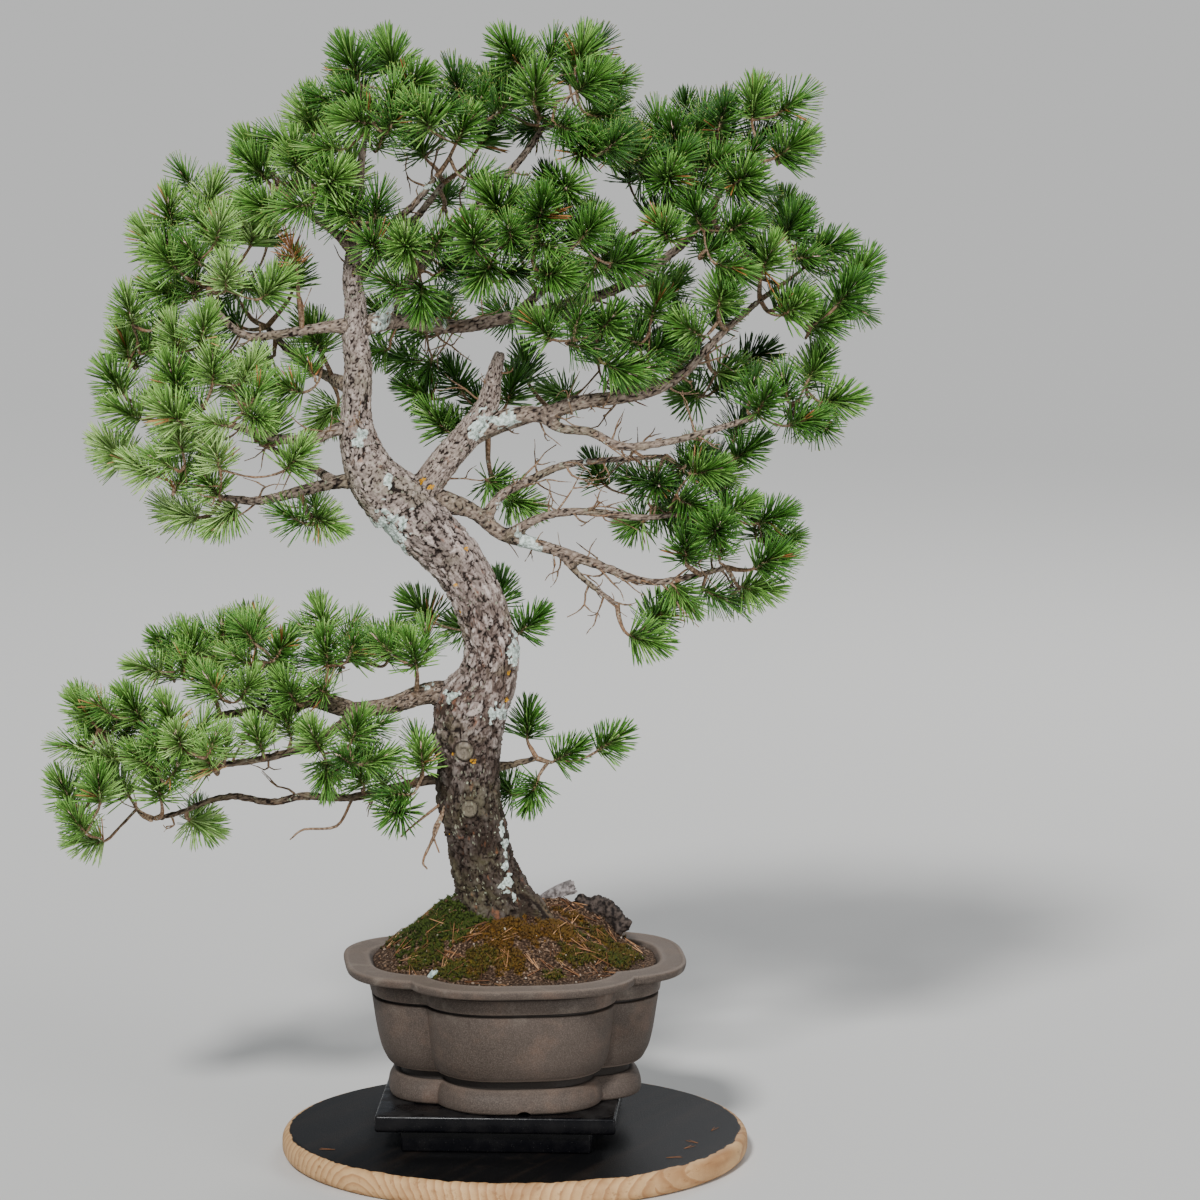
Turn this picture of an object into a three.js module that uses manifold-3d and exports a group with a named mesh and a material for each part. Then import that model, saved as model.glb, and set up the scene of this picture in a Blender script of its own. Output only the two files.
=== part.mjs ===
// A scots pine bonsai in a four-lobed stoneware pot, on a low black stand and a round board.
//
// Millimetres, +Z up. The frame's origin is the centre of the board's underside. Everything above
// the board is laid out from the board's top, so a height below is a height above that top.
// The tree leans left (-X) and is seen from -Y.

import * as THREE from "three";
import { mergeVertices } from "three/addons/utils/BufferGeometryUtils.js";
import Module from "manifold-3d";

const wasm = await Module();
wasm.setup();

// Driving dimensions

const FIT_GAP = 0.3; // between pieces that touch
const HOLE_GAP = 0.5; // round what stands in the soil

const BOARD = { radius: 232.5, thickness: 26, edge: { width: 5, height: 7 }, sides: 36 };

const STAND = {
  centreX: -12,
  turn: THREE.MathUtils.degToRad(-3),
  top: { width: 237, depth: 240, height: 17 },
  base: { width: 187, depth: 216, height: 22 },
};

const POT_TURN = THREE.MathUtils.degToRad(5.2);
const POT_FOOT = STAND.base.height + STAND.top.height;
const POT_RIM = 175;
const POT_HALF_WIDTH = 170;
const POT_FLOOR = 62;

// The pot's outline: its half depth and the notches between its lobes, worked out from the half width
const LOBES = {
  points: 6, // along each lobe
  depthPerWidth: 1.084,
  lessDepth: 21.3,
  notchAlong: 0.65, // share of the half width
  notchAcross: 0.656, // share of the half depth at the rim
  notchCloses: 0.00244, // less of it for each mm below the rim's half width
};

// The pot's section: height, then half the pot's width there
const POT_SECTION = [
  [48, 109], // roof of the foot ring's recess
  [POT_FOOT, 113],
  [POT_FOOT, 125.7],
  [61, 117.5],
  [66, 112], // waist
  [72, 125],
  [91, 136],
  [140, 143],
  [144, 139], // groove under the neck
  [150, 144],
  [163, 149],
  [165, 168], // lip
  [POT_RIM, POT_HALF_WIDTH],
  [POT_RIM, 144.3],
  [166, 137],
  [POT_FLOOR, 112],
];

const DRAIN_HOLE = { radius: 11, fromCentre: 52, length: 60, sides: 12 };
const FOOT_ARCH = { radius: 9, rise: 4, length: 300, sides: 12 };
const SCREEN = { size: 36, thickness: 1.4, opening: 6.5, openingTurn: 0.6 };

const SOIL = {
  edge: 165,
  crown: 54, // the mound's rise above its edge
  centre: [-12, 12],
  reach: [150, 142],
  steepness: 2.4,
  bump: 2.2,
  bumpSpans: [17, 21],
  rings: [0.8, 0.56, 0.3],
  wallGap: 1.7,
};

// The old root and the chip lie half sunk in the soil: centre, then radius
const OLD_ROOT = [
  [62, 62, 196, 5],
  [76, 56, 206, 10],
  [92, 46, 208, 13],
  [106, 36, 200, 11],
  [116, 22, 188, 6],
];
const WOOD_CHIP = { length: 36, width: 16, thickness: 7, place: [42, 40, 221], lean: -0.35, turn: 0.25 };

// The trunk from its foot in the soil to the fork: x, y, height, radius
const ROOT_BOTTOM = 150;
const TRUNK = [
  [-17, 4, ROOT_BOTTOM, 38],
  [-17, 4, 205, 43],
  [-17, 4, 222, 44],
  [-22, 4, 240, 39],
  [-32, 3, 273, 34],
  [-37, 2, 304, 33],
  [-45, 0, 330, 33],
  [-45, -2, 369, 32],
  [-46, -4, 400, 36],
  [-41, -6, 430, 37],
  [-28, -8, 453, 31],
  [-22, -9, 484, 28],
  [-26, -10, 505, 26.5],
  [-31, -10, 524, 26.5],
  [-42, -9, 550, 26.5],
  [-62, -6, 580, 28],
  [-88, -3, 605, 30],
  [-112, 0, 630, 29],
  [-130, -1, 650, 25],
  [-143, -4, 670, 17],
];
const TRUNK_SIDES = 12;
const BARK_MARGIN = { trunk: 1.16, limb: 1.06 }; // the wood's rough surface reaches this far

// Waves round the trunk, as shares of its radius: ridges of bark, and root swellings near the soil
const BARK_RIDGES = [
  { size: 0.035, count: 3, rise: 23 },
  { size: 0.03, count: 5, rise: -14 },
];
const ROOT_SWELLINGS = [
  { size: 0.1, count: 4, turn: 2.17 },
  { size: 0.05, count: 7, turn: 1.57 },
];

// Each limb grows out of the trunk or of another limb: x, y, height, radius. Its first point is sunk.
const LIMBS = {
  leader: [
    [-112, 0, 628, 27],
    [-138, -3, 657, 27],
    [-151, -6, 690, 20.5],
    [-154, -8, 718, 16],
    [-152, -8, 764, 14.5],
    [-155, -6, 798, 13.5],
    [-154, -4, 824, 11.5],
    [-158, 0, 857, 10],
    [-155, 3, 882, 8.5],
    [-156, 5, 905, 6],
  ],
  heavy_right: [
    [-108, 4, 618, 22],
    [-87, 6, 645, 17],
    [-67, 8, 672, 15.5],
    [-43, 8, 700, 14],
    [-26, 6, 727, 12],
    [-20, 2, 752, 9],
    [-13, -2, 780, 6],
  ],
  right_upper: [
    [-43, 8, 700, 10],
    [2, 4, 717, 9],
    [32, 0, 719, 8.5],
    [65, -6, 731, 8],
    [124, -12, 740, 6.8],
    [163, -10, 757, 5.6],
    [202, 0, 796, 4.6],
    [242, 4, 831, 3.8],
  ],
  right_middle: [
    [26, 0, 719, 6],
    [46, -8, 706, 5.6],
    [76, -16, 703, 5.2],
    [106, -24, 690, 5],
    [146, -28, 694, 4.6],
    [186, -28, 704, 4.2],
    [232, -20, 717, 3.6],
  ],
  right_lower: [
    [-80, 8, 632, 12],
    [-43, 16, 621, 8.6],
    [-13, 20, 597, 7.6],
    [16, 18, 588, 7],
    [46, 12, 580, 6.2],
    [86, 4, 567, 5.4],
    [130, 0, 552, 4.6],
    [171, 0, 556, 4],
    [210, 2, 566, 3.5],
  ],
  right_inner: [
    [-30, 18, 610, 6],
    [-12, 30, 634, 5.4],
    [14, 36, 647, 5],
    [46, 34, 662, 4.6],
    [78, 26, 668, 4.2],
    [116, 18, 672, 3.7],
    [150, 14, 675, 3.3],
  ],
  right_fan: [
    [-6, 20, 594, 6],
    [20, 8, 612, 5.2],
    [52, -4, 622, 4.8],
    [92, -12, 622, 4.4],
    [126, -14, 618, 3.9],
    [160, -10, 620, 3.4],
  ],
  right_droop: [
    [46, 12, 580, 4.4],
    [60, 6, 562, 4],
    [82, -2, 544, 3.6],
    [102, -6, 530, 3.2],
  ],
  low_left: [
    [-50, -6, 438, 13],
    [-84, -9, 442, 11.5],
    [-124, -14, 430, 9],
    [-166, -18, 427, 7.8],
    [-200, -24, 436, 6.4],
    [-226, -28, 426, 5.6],
    [-258, -28, 427, 5],
    [-296, -24, 421, 4.2],
  ],
  low_left_back: [
    [-160, -17, 428, 6.4],
    [-194, 4, 438, 5.2],
    [-230, 26, 442, 4.6],
    [-262, 40, 446, 3.8],
  ],
  low_left_lower: [
    [-148, -16, 428, 6.4],
    [-180, -34, 408, 5.2],
    [-215, -42, 391, 4.8],
    [-255, -44, 381, 4.4],
    [-300, -42, 376, 4],
    [-340, -34, 377, 3.6],
  ],
  low_left_under: [
    [-52, 4, 354, 7],
    [-82, 2, 353, 6],
    [-113, -4, 347, 5.4],
    [-162, -10, 337, 5],
    [-209, -8, 338, 4.8],
    [-240, -4, 331, 4.5],
    [-275, 0, 336, 4.2],
    [-302, 0, 332, 4],
    [-330, -4, 321, 3.7],
    [-360, -6, 314, 3.4],
  ],
  low_right: [
    [-36, 8, 362, 7],
    [-4, 22, 364, 4.6],
    [22, 30, 369, 3.8],
  ],
  low_back: [
    [-28, 0, 452, 9],
    [-22, 38, 462, 5.6],
    [-28, 66, 474, 4.2],
  ],
  left_mid: [
    [-136, -4, 652, 11],
    [-170, -10, 653, 7.6],
    [-210, -22, 645, 6.2],
    [-250, -30, 637, 5.2],
    [-286, -26, 640, 4.2],
  ],
  left_mid_back: [
    [-176, -11, 652, 6],
    [-194, 36, 657, 5],
    [-226, 66, 668, 4.2],
    [-256, 78, 680, 3.6],
  ],
  left_fan: [
    [-152, -7, 706, 9],
    [-174, -14, 705, 6.8],
    [-196, -28, 697, 5.8],
    [-228, -40, 700, 5.2],
    [-265, -44, 711, 4.6],
    [-305, -38, 720, 4.1],
    [-338, -26, 724, 3.6],
  ],
  left_upper: [
    [-153, -6, 806, 9],
    [-182, -10, 806, 6.4],
    [-219, -16, 801, 5.4],
    [-260, -16, 798, 4.8],
    [-288, -12, 820, 4.2],
    [-300, -8, 848, 3.7],
  ],
  left_back: [
    [-153, -4, 744, 9],
    [-184, 46, 750, 6],
    [-218, 78, 766, 5],
    [-246, 88, 794, 4.2],
  ],
  crown_left: [
    [-155, 3, 880, 7],
    [-174, -2, 898, 5.2],
    [-198, -8, 916, 4.4],
    [-218, -8, 932, 3.7],
  ],
  crown_top: [
    [-156, 4, 892, 6.6],
    [-150, 2, 938, 5.4],
    [-146, -2, 980, 4.3],
    [-138, -4, 1010, 3.5],
  ],
  crown_front: [
    [-155, 2, 884, 7],
    [-128, -16, 902, 5.2],
    [-98, -30, 926, 4.5],
    [-74, -38, 956, 3.8],
  ],
  crown_side: [
    [-153, -4, 802, 9.5],
    [-133, 2, 811, 7.6],
    [-112, 8, 836, 6.8],
    [-90, 14, 864, 6.2],
    [-60, 16, 897, 5.7],
    [-20, 12, 937, 5.1],
    [12, 4, 975, 4.4],
    [34, -6, 1008, 3.7],
  ],
  crown_right: [
    [-140, 0, 808, 9],
    [-112, 22, 808, 8],
    [-80, 32, 802, 7.8],
    [-42, 36, 802, 7.4],
    [4, 34, 812, 6.8],
    [46, 28, 822, 6.3],
    [105, 20, 842, 5.7],
    [163, 14, 882, 5],
    [194, 8, 922, 4.4],
    [214, 2, 960, 3.7],
  ],
  crown_face: [
    [-56, 16, 901, 5.4],
    [-38, -18, 893, 4.8],
    [-8, -46, 893, 4.3],
    [26, -66, 902, 3.7],
  ],
  right_face: [
    [46, 28, 822, 5.4],
    [56, -4, 812, 4.6],
    [74, -34, 806, 3.8],
  ],
  back_crown: [
    [-157, 0, 850, 8],
    [-132, 48, 872, 5.8],
    [-98, 88, 902, 4.8],
    [-70, 104, 936, 3.8],
  ],
  back_middle: [
    [4, 34, 812, 6],
    [24, 76, 828, 5],
    [58, 106, 848, 4.3],
    [90, 118, 872, 3.7],
  ],
  back_right: [
    [-60, 8, 682, 9],
    [-26, 56, 692, 6.2],
    [28, 88, 706, 5.2],
    [88, 98, 722, 4.4],
    [140, 94, 738, 3.7],
  ],
};
const LIMB_SIDES = { leader: 10, heavy_right: 10 };
const SLIM_LIMB_SIDES = 4;

// Where a spray's foot may sit on its limb, and the short stub that bears it there
const FOOT = { first: 26, step: 3, endReach: 14, forward: 0.6, shifts: [0, 14, -14, 28, -28, 42, -42, 56] };
const STUB = { length: 11, radius: 3.3, sides: 3 };
const LEAD = { perRadius: 2, extra: 1, narrower: 0.6 }; // a spray's first stretch, out of its foot

// Sprays whose tufts show in the front view: the limb that bears the spray, then the middle of
// each tuft of needles as x, y, height
const FRONT_SPRAYS = {
  crown_peak: ["crown_top", [-155, -5, 1060], [-118, 25, 1062], [-98, -34, 1044], [-146, -65, 1012]],
  crown_left: [
    "crown_left", [-196, 10, 1005], [-210, -35, 972], [-176, -62, 952], [-248, 5, 957], [-238, -36, 925],
  ],
  crown_front_low: ["crown_front", [-159, -62, 925], [-101, -82, 893], [-88, -70, 845]],
  crown_front_high: ["crown_front", [-84, -76, 1014], [-50, -44, 999], [-22, 20, 1034]],
  crown_centre_high: ["crown_side", [1, -10, 1070], [22, -50, 1038], [65, 2, 1069], [72, -44, 1046]],
  crown_centre_mid: ["crown_side", [51, -90, 950], [69, -60, 985], [97, -14, 984]],
  crown_centre_low: ["crown_face", [-14, -80, 931], [-36, -115, 902], [28, -106, 926], [-24, -90, 872]],
  crown_centre_right: ["crown_face", [72, -116, 910], [36, -106, 869], [107, -100, 880]],
  right_face: [
    "right_face", [91, -86, 818], [30, -90, 812], [100, -76, 774], [138, -58, 830], [142, -40, 788],
  ],
  crown_right_high: ["crown_right", [159, -20, 988], [150, -66, 956], [190, 12, 962], [206, 36, 996]],
  crown_right_tip: ["crown_right", [234, 0, 1020], [266, -10, 979], [220, -38, 952]],
  right_shoulder: ["crown_right", [179, -72, 920], [148, -106, 908], [216, -58, 909], [208, -84, 874]],
  right_tip_upper: ["right_upper", [270, 0, 903], [246, -46, 874], [305, 12, 881]],
  right_tip: ["right_upper", [338, 0, 856], [322, -36, 838], [302, -16, 811], [271, -52, 828]],
  right_middle_front: [
    "right_upper", [202, -62, 840], [174, -54, 808], [210, 22, 757], [176, 42, 732],
  ],
  right_arm_tip: ["right_middle", [295, 0, 764], [314, 4, 731], [281, -36, 716], [242, -52, 734]],
  right_inner: [
    "right_inner", [227, 20, 678], [186, -6, 662], [202, 48, 648], [140, -14, 652], [172, -28, 634],
  ],
  right_low_tip: ["right_fan", [216, -22, 626], [252, 4, 614], [258, 34, 588], [197, -58, 610]],
  right_low_end: ["right_lower", [247, -16, 574], [236, 6, 545], [169, -32, 586], [164, 2, 540]],
  right_droop: ["right_droop", [125, -10, 497], [143, 22, 516]],
  left_top: [
    "left_upper", [-335, 0, 914], [-298, 30, 926], [-286, -42, 902], [-352, 20, 884], [-334, -28, 872],
    [-338, 6, 838],
  ],
  left_top_inner: ["left_upper", [-254, 0, 896], [-278, -52, 858], [-236, -32, 845]],
  left_dead_tuft: ["left_upper", [-214, -30, 878]],
  left_mid_outer: [
    "left_fan", [-375, 0, 818], [-328, -40, 796], [-300, -66, 806], [-381, 26, 780], [-389, 0, 748],
    [-375, -28, 722], [-328, -62, 758],
  ],
  left_mid_face: ["left_fan", [-291, -72, 770], [-258, -50, 766], [-250, -86, 727], [-327, -88, 728]],
  left_low: [
    "left_mid", [-390, 0, 680], [-359, -36, 668], [-324, -66, 700], [-287, -72, 685], [-294, -40, 652],
    [-213, -94, 685],
  ],
  left_low_edge: ["left_mid", [-321, 0, 618], [-281, -20, 622], [-188, -38, 619]],
  left_inner: ["left_back", [-195, 20, 790], [-216, -36, 748], [-182, 62, 712]],
  pad_upper_far: [
    "low_left", [-359, 0, 464], [-315, -8, 488], [-301, -46, 456], [-271, 14, 494], [-230, -32, 488],
    [-262, -62, 454],
  ],
  pad_upper_near: [
    "low_left", [-189, 24, 508], [-184, -34, 486], [-218, -58, 450], [-152, -8, 481], [-125, 28, 484],
    [-98, -36, 482],
  ],
  pad_lower_left: [
    "low_left_lower", [-423, 0, 420], [-372, -35, 429], [-414, 38, 392], [-402, -24, 380],
  ],
  pad_lower_mid: [
    "low_left_lower", [-337, -56, 424], [-362, -62, 384], [-325, -92, 408], [-299, -76, 386],
    [-249, -68, 404], [-222, -40, 416],
  ],
  pad_lower_near: [
    "low_left_lower", [-192, -78, 406], [-185, -38, 368], [-155, -62, 412], [-138, -44, 380],
  ],
  low_tip: [
    "low_left_under", [-443, 0, 338], [-430, -22, 312], [-420, 14, 288], [-408, -46, 350],
    [-392, 36, 338], [-350, -32, 348], [-314, 6, 308],
  ],
  low_trunk: ["low_left_under", [-90, -46, 381], [-153, -22, 362], [-114, -36, 328]],
  trunk_right: [
    "low_right", [13, 42, 398], [19, 14, 340], [-8, 56, 332], [50, 20, 374], [92, 10, 387],
  ],
};

// Sprays at the back fill a rounded mass: the limb, its middle, its half sizes and its tufts
const BACK_SPRAYS = {
  back_crown_left: ["crown_left", [-205, 68, 950], [52, 42, 48], 4],
  back_crown_middle: ["back_crown", [-78, 108, 985], [58, 46, 46], 4],
  back_crown_centre: ["crown_side", [34, 74, 1008], [58, 48, 48], 4],
  back_crown_right: ["crown_right", [148, 76, 962], [58, 48, 48], 4],
  back_middle: ["back_middle", [92, 136, 905], [60, 44, 48], 4],
  back_middle_left: ["back_crown", [-92, 138, 880], [56, 44, 46], 4],
  back_shoulder: ["right_upper", [246, 78, 866], [56, 44, 46], 4],
  back_right: ["back_right", [182, 112, 764], [62, 44, 44], 4],
  back_right_low: ["back_right", [62, 128, 732], [56, 36, 38], 4],
  back_left_top: ["left_back", [-268, 92, 846], [58, 46, 48], 4],
  back_left_middle: ["left_back", [-304, 96, 764], [60, 42, 42], 4],
  back_left_low: ["left_mid_back", [-292, 92, 690], [58, 40, 36], 4],
  back_pad: ["low_left_back", [-286, 62, 466], [62, 44, 24], 4],
  back_low: ["low_back", [-38, 92, 496], [58, 42, 28], 4],
};

// One tuft: a short slim shoot whose faces are each drawn out into a three-sided needle
const NEEDLE = { length: 33, spread: 3, root: 2.3, tip: 0.2, leftOut: 0.2 };
const SHOOT = { radius: 1.9, taper: 0.12, length: 12, bands: 2, turn: 1.25, bud: 9, up: 0.45, out: 0.25 };
const LEAN_AT_BASE = THREE.MathUtils.degToRad(94);
const LEAN_AT_TIP = THREE.MathUtils.degToRad(38);
const LEAN_SPREAD = THREE.MathUtils.degToRad(9);
const NEEDLE_TRIES = [1, 0.8, 0.62];
const CLEAR = 0.45; // kept between any two twigs or needles
const GOLDEN_ANGLE = Math.PI * (3 - Math.sqrt(5));
const TREE_MIDDLE_X = -60;
const TWIG_RADIUS = 2.1;
const ROOT_SHARE = 0.86; // a twig leaves its parent a little before the nearest point
const TUFT_SHIFTS = [0, 8, 16, 26]; // tried in turn where something is in a tuft's way
const SHIFT_WAYS = 7;
const MASS = { top: 0.95, span: 1.55, turn: 0.4 }; // where tufts lie on a rounded mass of half height 1

// Materials

const finish = (color, roughness, metalness = 0) =>
  new THREE.MeshStandardMaterial({ color, roughness, metalness });

const MATERIAL = {
  pine: finish(0xc49a6c, 0.7),
  lacquer: finish(0x0c0d10, 0.3),
  stoneware: finish(0x6a5a50, 0.75),
  mesh: finish(0x26282a, 0.6),
  soil: finish(0x2c2118, 0.95),
  bark: finish(0x84746a, 0.9),
  oldWood: finish(0x9a9287, 0.9),
  needles: finish(0x3f7a35, 0.5),
  deadNeedles: finish(0xa0703c, 0.7),
};

// A repeatable random number from 0 to 1 for a pair of whole numbers

function chance(a, b) {
  const wave = Math.sin(a * 12.9898 + b * 78.233) * 43758.5453;
  return wave - Math.floor(wave);
}

const UP = new THREE.Vector3(0, 0, 1);
const vector = ([x, y, z]) => new THREE.Vector3(x, y, z);

// Closed shapes from rings of points

function geometryFrom(points, faces) {
  const geometry = new THREE.BufferGeometry();
  geometry.setAttribute("position", new THREE.Float32BufferAttribute(points.flatMap((p) => p.toArray()), 3));
  geometry.setIndex(faces.flat());
  return geometry;
}

// Joins rings that run counter-clockwise about the way they advance, and closes both ends
function loft(rings) {
  const count = rings[0].length;
  const points = rings.flat();
  const faces = [];
  for (let ring = 0; ring < rings.length - 1; ring += 1) {
    for (let j = 0; j < count; j += 1) {
      const next = (j + 1) % count;
      const a = ring * count + j;
      const b = ring * count + next;
      faces.push([a, b, b + count], [a, b + count, a + count]);
    }
  }
  for (const [ring, closesStart] of [[0, true], [rings.length - 1, false]]) {
    const middle = new THREE.Vector3();
    rings[ring].forEach((p) => middle.addScaledVector(p, 1 / count));
    const centre = points.push(middle) - 1;
    for (let j = 0; j < count; j += 1) {
      const a = ring * count + j;
      const b = ring * count + ((j + 1) % count);
      faces.push(closesStart ? [centre, b, a] : [centre, a, b]);
    }
  }
  return geometryFrom(points, faces);
}

// Directions and side vectors along a line of points, carried along without twisting
function framesAlong(points, start = new THREE.Vector3(0.31, -0.9, 0.3)) {
  const frames = [];
  let side = start.clone();
  points.forEach((point, i) => {
    const ahead = points[Math.min(i + 1, points.length - 1)];
    const behind = points[Math.max(i - 1, 0)];
    const along = ahead.clone().sub(behind).normalize();
    side = side.clone().addScaledVector(along, -side.dot(along)).normalize();
    frames.push({ along, side, across: along.clone().cross(side) });
  });
  return frames;
}

// A tapering limb; relief(angle, height) scales its radius and grow adds to it
function limbShape(points, radii, sides, { relief = () => 1, grow = 0 } = {}) {
  const frames = framesAlong(points);
  const rings = points.map((point, i) => {
    const { side, across } = frames[i];
    return Array.from({ length: sides }, (_, j) => {
      const angle = (2 * Math.PI * j) / sides;
      const radius = radii[i] * relief(angle, point.z) + grow;
      return point
        .clone()
        .addScaledVector(side, radius * Math.cos(angle))
        .addScaledVector(across, radius * Math.sin(angle));
    });
  });
  return loft(rings);
}

// Extra points on a smooth curve through the given ones
function smoothLine(line, pieces) {
  const curve = new THREE.CatmullRomCurve3(line.map(vector), false, "centripetal");
  const spans = line.length - 1;
  const points = [];
  const radii = [];
  for (let i = 0; i <= spans * pieces; i += 1) {
    const span = Math.min(Math.floor(i / pieces), spans - 1);
    const part = i / pieces - span;
    points.push(curve.getPoint(i / (spans * pieces)));
    radii.push(THREE.MathUtils.lerp(line[span][3], line[span + 1][3], part));
  }
  return { points, radii };
}

// Solids that can be joined and cut

function solidFrom(geometry) {
  const bare = geometry.clone();
  bare.deleteAttribute("normal");
  bare.deleteAttribute("uv");
  const merged = mergeVertices(bare);
  return new wasm.Manifold(
    new wasm.Mesh({
      numProp: 3,
      vertProperties: new Float32Array(merged.attributes.position.array),
      triVerts: new Uint32Array(merged.index.array),
    }),
  );
}

function geometryOf(solid) {
  const mesh = solid.getMesh();
  const geometry = new THREE.BufferGeometry();
  geometry.setAttribute("position", new THREE.BufferAttribute(new Float32Array(mesh.vertProperties), 3));
  geometry.setIndex(new THREE.BufferAttribute(new Uint32Array(mesh.triVerts), 1));
  return geometry;
}

const joined = (solids) => solids.reduce((whole, next) => whole.add(next));
const cutBy = (solid, cutters) => cutters.reduce((rest, cutter) => rest.subtract(cutter), solid);

// Room taken by wood and needles: tapering lines, each with the spray and the shoot it belongs to

const taken = [];

function take(line) {
  const middle = line.from.clone().add(line.to).multiplyScalar(0.5);
  const reach = line.from.distanceTo(line.to) / 2 + Math.max(line.fromRadius, line.toRadius);
  taken.push({ ...line, middle, reach });
}

// Where two lines come closest, as the share along each
function closestShares(a, b, c, d) {
  const ab = b.clone().sub(a);
  const cd = d.clone().sub(c);
  const ac = a.clone().sub(c);
  const abab = ab.dot(ab);
  const cdcd = cd.dot(cd);
  const abcd = ab.dot(cd);
  const clamp = (x) => THREE.MathUtils.clamp(x, 0, 1);
  const flat = abab * cdcd - abcd * abcd;
  let s = flat > 1e-9 ? clamp((abcd * cd.dot(ac) - cdcd * ab.dot(ac)) / flat) : 0;
  const t = clamp((abcd * s + cd.dot(ac)) / cdcd);
  s = clamp((abcd * t - ab.dot(ac)) / abab);
  return [s, t];
}

// True when a tapering line keeps clear of all that is taken, apart from what is its own
function isClear({ from, to, fromRadius, toRadius }, isOwn) {
  const middle = from.clone().add(to).multiplyScalar(0.5);
  const reach = from.distanceTo(to) / 2 + Math.max(fromRadius, toRadius) + CLEAR;
  return taken.every((other) => {
    if (isOwn(other) || middle.distanceTo(other.middle) > reach + other.reach) return true;
    const [s, t] = closestShares(from, to, other.from, other.to);
    const here = from.clone().lerp(to, s);
    const there = other.from.clone().lerp(other.to, t);
    const radii =
      THREE.MathUtils.lerp(fromRadius, toRadius, s) +
      THREE.MathUtils.lerp(other.fromRadius, other.toRadius, t);
    return here.distanceTo(there) > radii + CLEAR;
  });
}

// The board and the stand

function boardShape() {
  const { radius, thickness, edge, sides } = BOARD;
  const profile = [
    [0, 0],
    [radius - edge.width, 0],
    [radius, edge.height],
    [radius, thickness - edge.height],
    [radius - edge.width, thickness],
    [0, thickness],
  ].map(([r, z]) => new THREE.Vector2(r, z));
  return new THREE.LatheGeometry(profile, sides).rotateX(Math.PI / 2);
}

function standShape({ width, depth, height }, bottom) {
  return new THREE.BoxGeometry(width, depth, height)
    .rotateZ(STAND.turn)
    .translate(STAND.centreX, 0, bottom + height / 2);
}

// The pot

// A four-lobed outline: an arc for each lobe, meeting at the notches
function lobedOutline(halfWidth, height) {
  const halfDepth = LOBES.depthPerWidth * halfWidth - LOBES.lessDepth;
  const notchX = LOBES.notchAlong * halfWidth;
  const notchY = halfDepth * (LOBES.notchAcross - (POT_HALF_WIDTH - halfWidth) * LOBES.notchCloses);
  const outline = [];
  for (let lobe = 0; lobe < 4; lobe += 1) {
    const sideways = lobe % 2 === 0;
    const reach = sideways ? halfWidth : halfDepth;
    const notchAlong = sideways ? notchX : notchY;
    const notchAcross = sideways ? notchY : notchX;
    const rise = reach - notchAlong;
    const radius = (rise * rise + notchAcross * notchAcross) / (2 * rise);
    const span = Math.asin(notchAcross / radius);
    for (let i = 0; i < LOBES.points; i += 1) {
      const angle = -span + (2 * span * i) / LOBES.points;
      const point = new THREE.Vector3(reach - radius + radius * Math.cos(angle), radius * Math.sin(angle), 0);
      point.applyAxisAngle(UP, (lobe * Math.PI) / 2 + POT_TURN);
      outline.push(point.setZ(height));
    }
  }
  return outline;
}

function drainHolePlaces() {
  return [-1, 1].map((side) => {
    const place = new THREE.Vector3(side * DRAIN_HOLE.fromCentre, 0, 0);
    return place.applyAxisAngle(UP, POT_TURN);
  });
}

function potShape() {
  const body = solidFrom(loft(POT_SECTION.map(([height, halfWidth]) => lobedOutline(halfWidth, height))));
  const holes = drainHolePlaces().map((place) => {
    const { radius, length, sides } = DRAIN_HOLE;
    const drill = new THREE.CylinderGeometry(radius, radius, length, sides);
    return solidFrom(drill.rotateX(Math.PI / 2).translate(place.x, place.y, POT_FLOOR));
  });
  const { radius, length, sides } = FOOT_ARCH;
  const arch = new THREE.CylinderGeometry(radius, radius, length, sides);
  arch.rotateY(Math.PI / sides).rotateZ(POT_TURN);
  arch.translate(0, 0, POT_FOOT + FOOT_ARCH.rise - FOOT_ARCH.radius);
  return geometryOf(cutBy(body, [...holes, solidFrom(arch)]));
}

// A square of plastic mesh with an opening in each quarter
function screenShape(place) {
  const corners = (x, y, radius, turn) =>
    [0, 1, 2, 3].map((corner) => {
      const angle = turn + (corner * Math.PI) / 2;
      return new THREE.Vector2(x + radius * Math.cos(angle), y + radius * Math.sin(angle));
    });
  const outline = new THREE.Shape(corners(0, 0, SCREEN.size * Math.SQRT1_2, Math.PI / 4));
  const quarter = SCREEN.size / 4;
  for (const x of [-quarter, quarter]) {
    for (const y of [-quarter, quarter]) {
      outline.holes.push(new THREE.Path(corners(x, y, SCREEN.opening, SCREEN.openingTurn).reverse()));
    }
  }
  const plate = new THREE.ExtrudeGeometry(outline, { depth: SCREEN.thickness, bevelEnabled: false });
  return plate.translate(place.x, place.y, POT_FLOOR);
}

// The soil and what lies in it

function soilHeight(x, y) {
  const { edge, crown, centre, reach, steepness, bump, bumpSpans } = SOIL;
  const share = Math.min(1, Math.hypot((x - centre[0]) / reach[0], (y - centre[1]) / reach[1]));
  const wave = Math.sin(x / bumpSpans[0] + 1) * Math.cos(y / bumpSpans[1]);
  return edge + crown * (1 - share ** steepness) + bump * wave * Math.sin(Math.PI * share);
}

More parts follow.
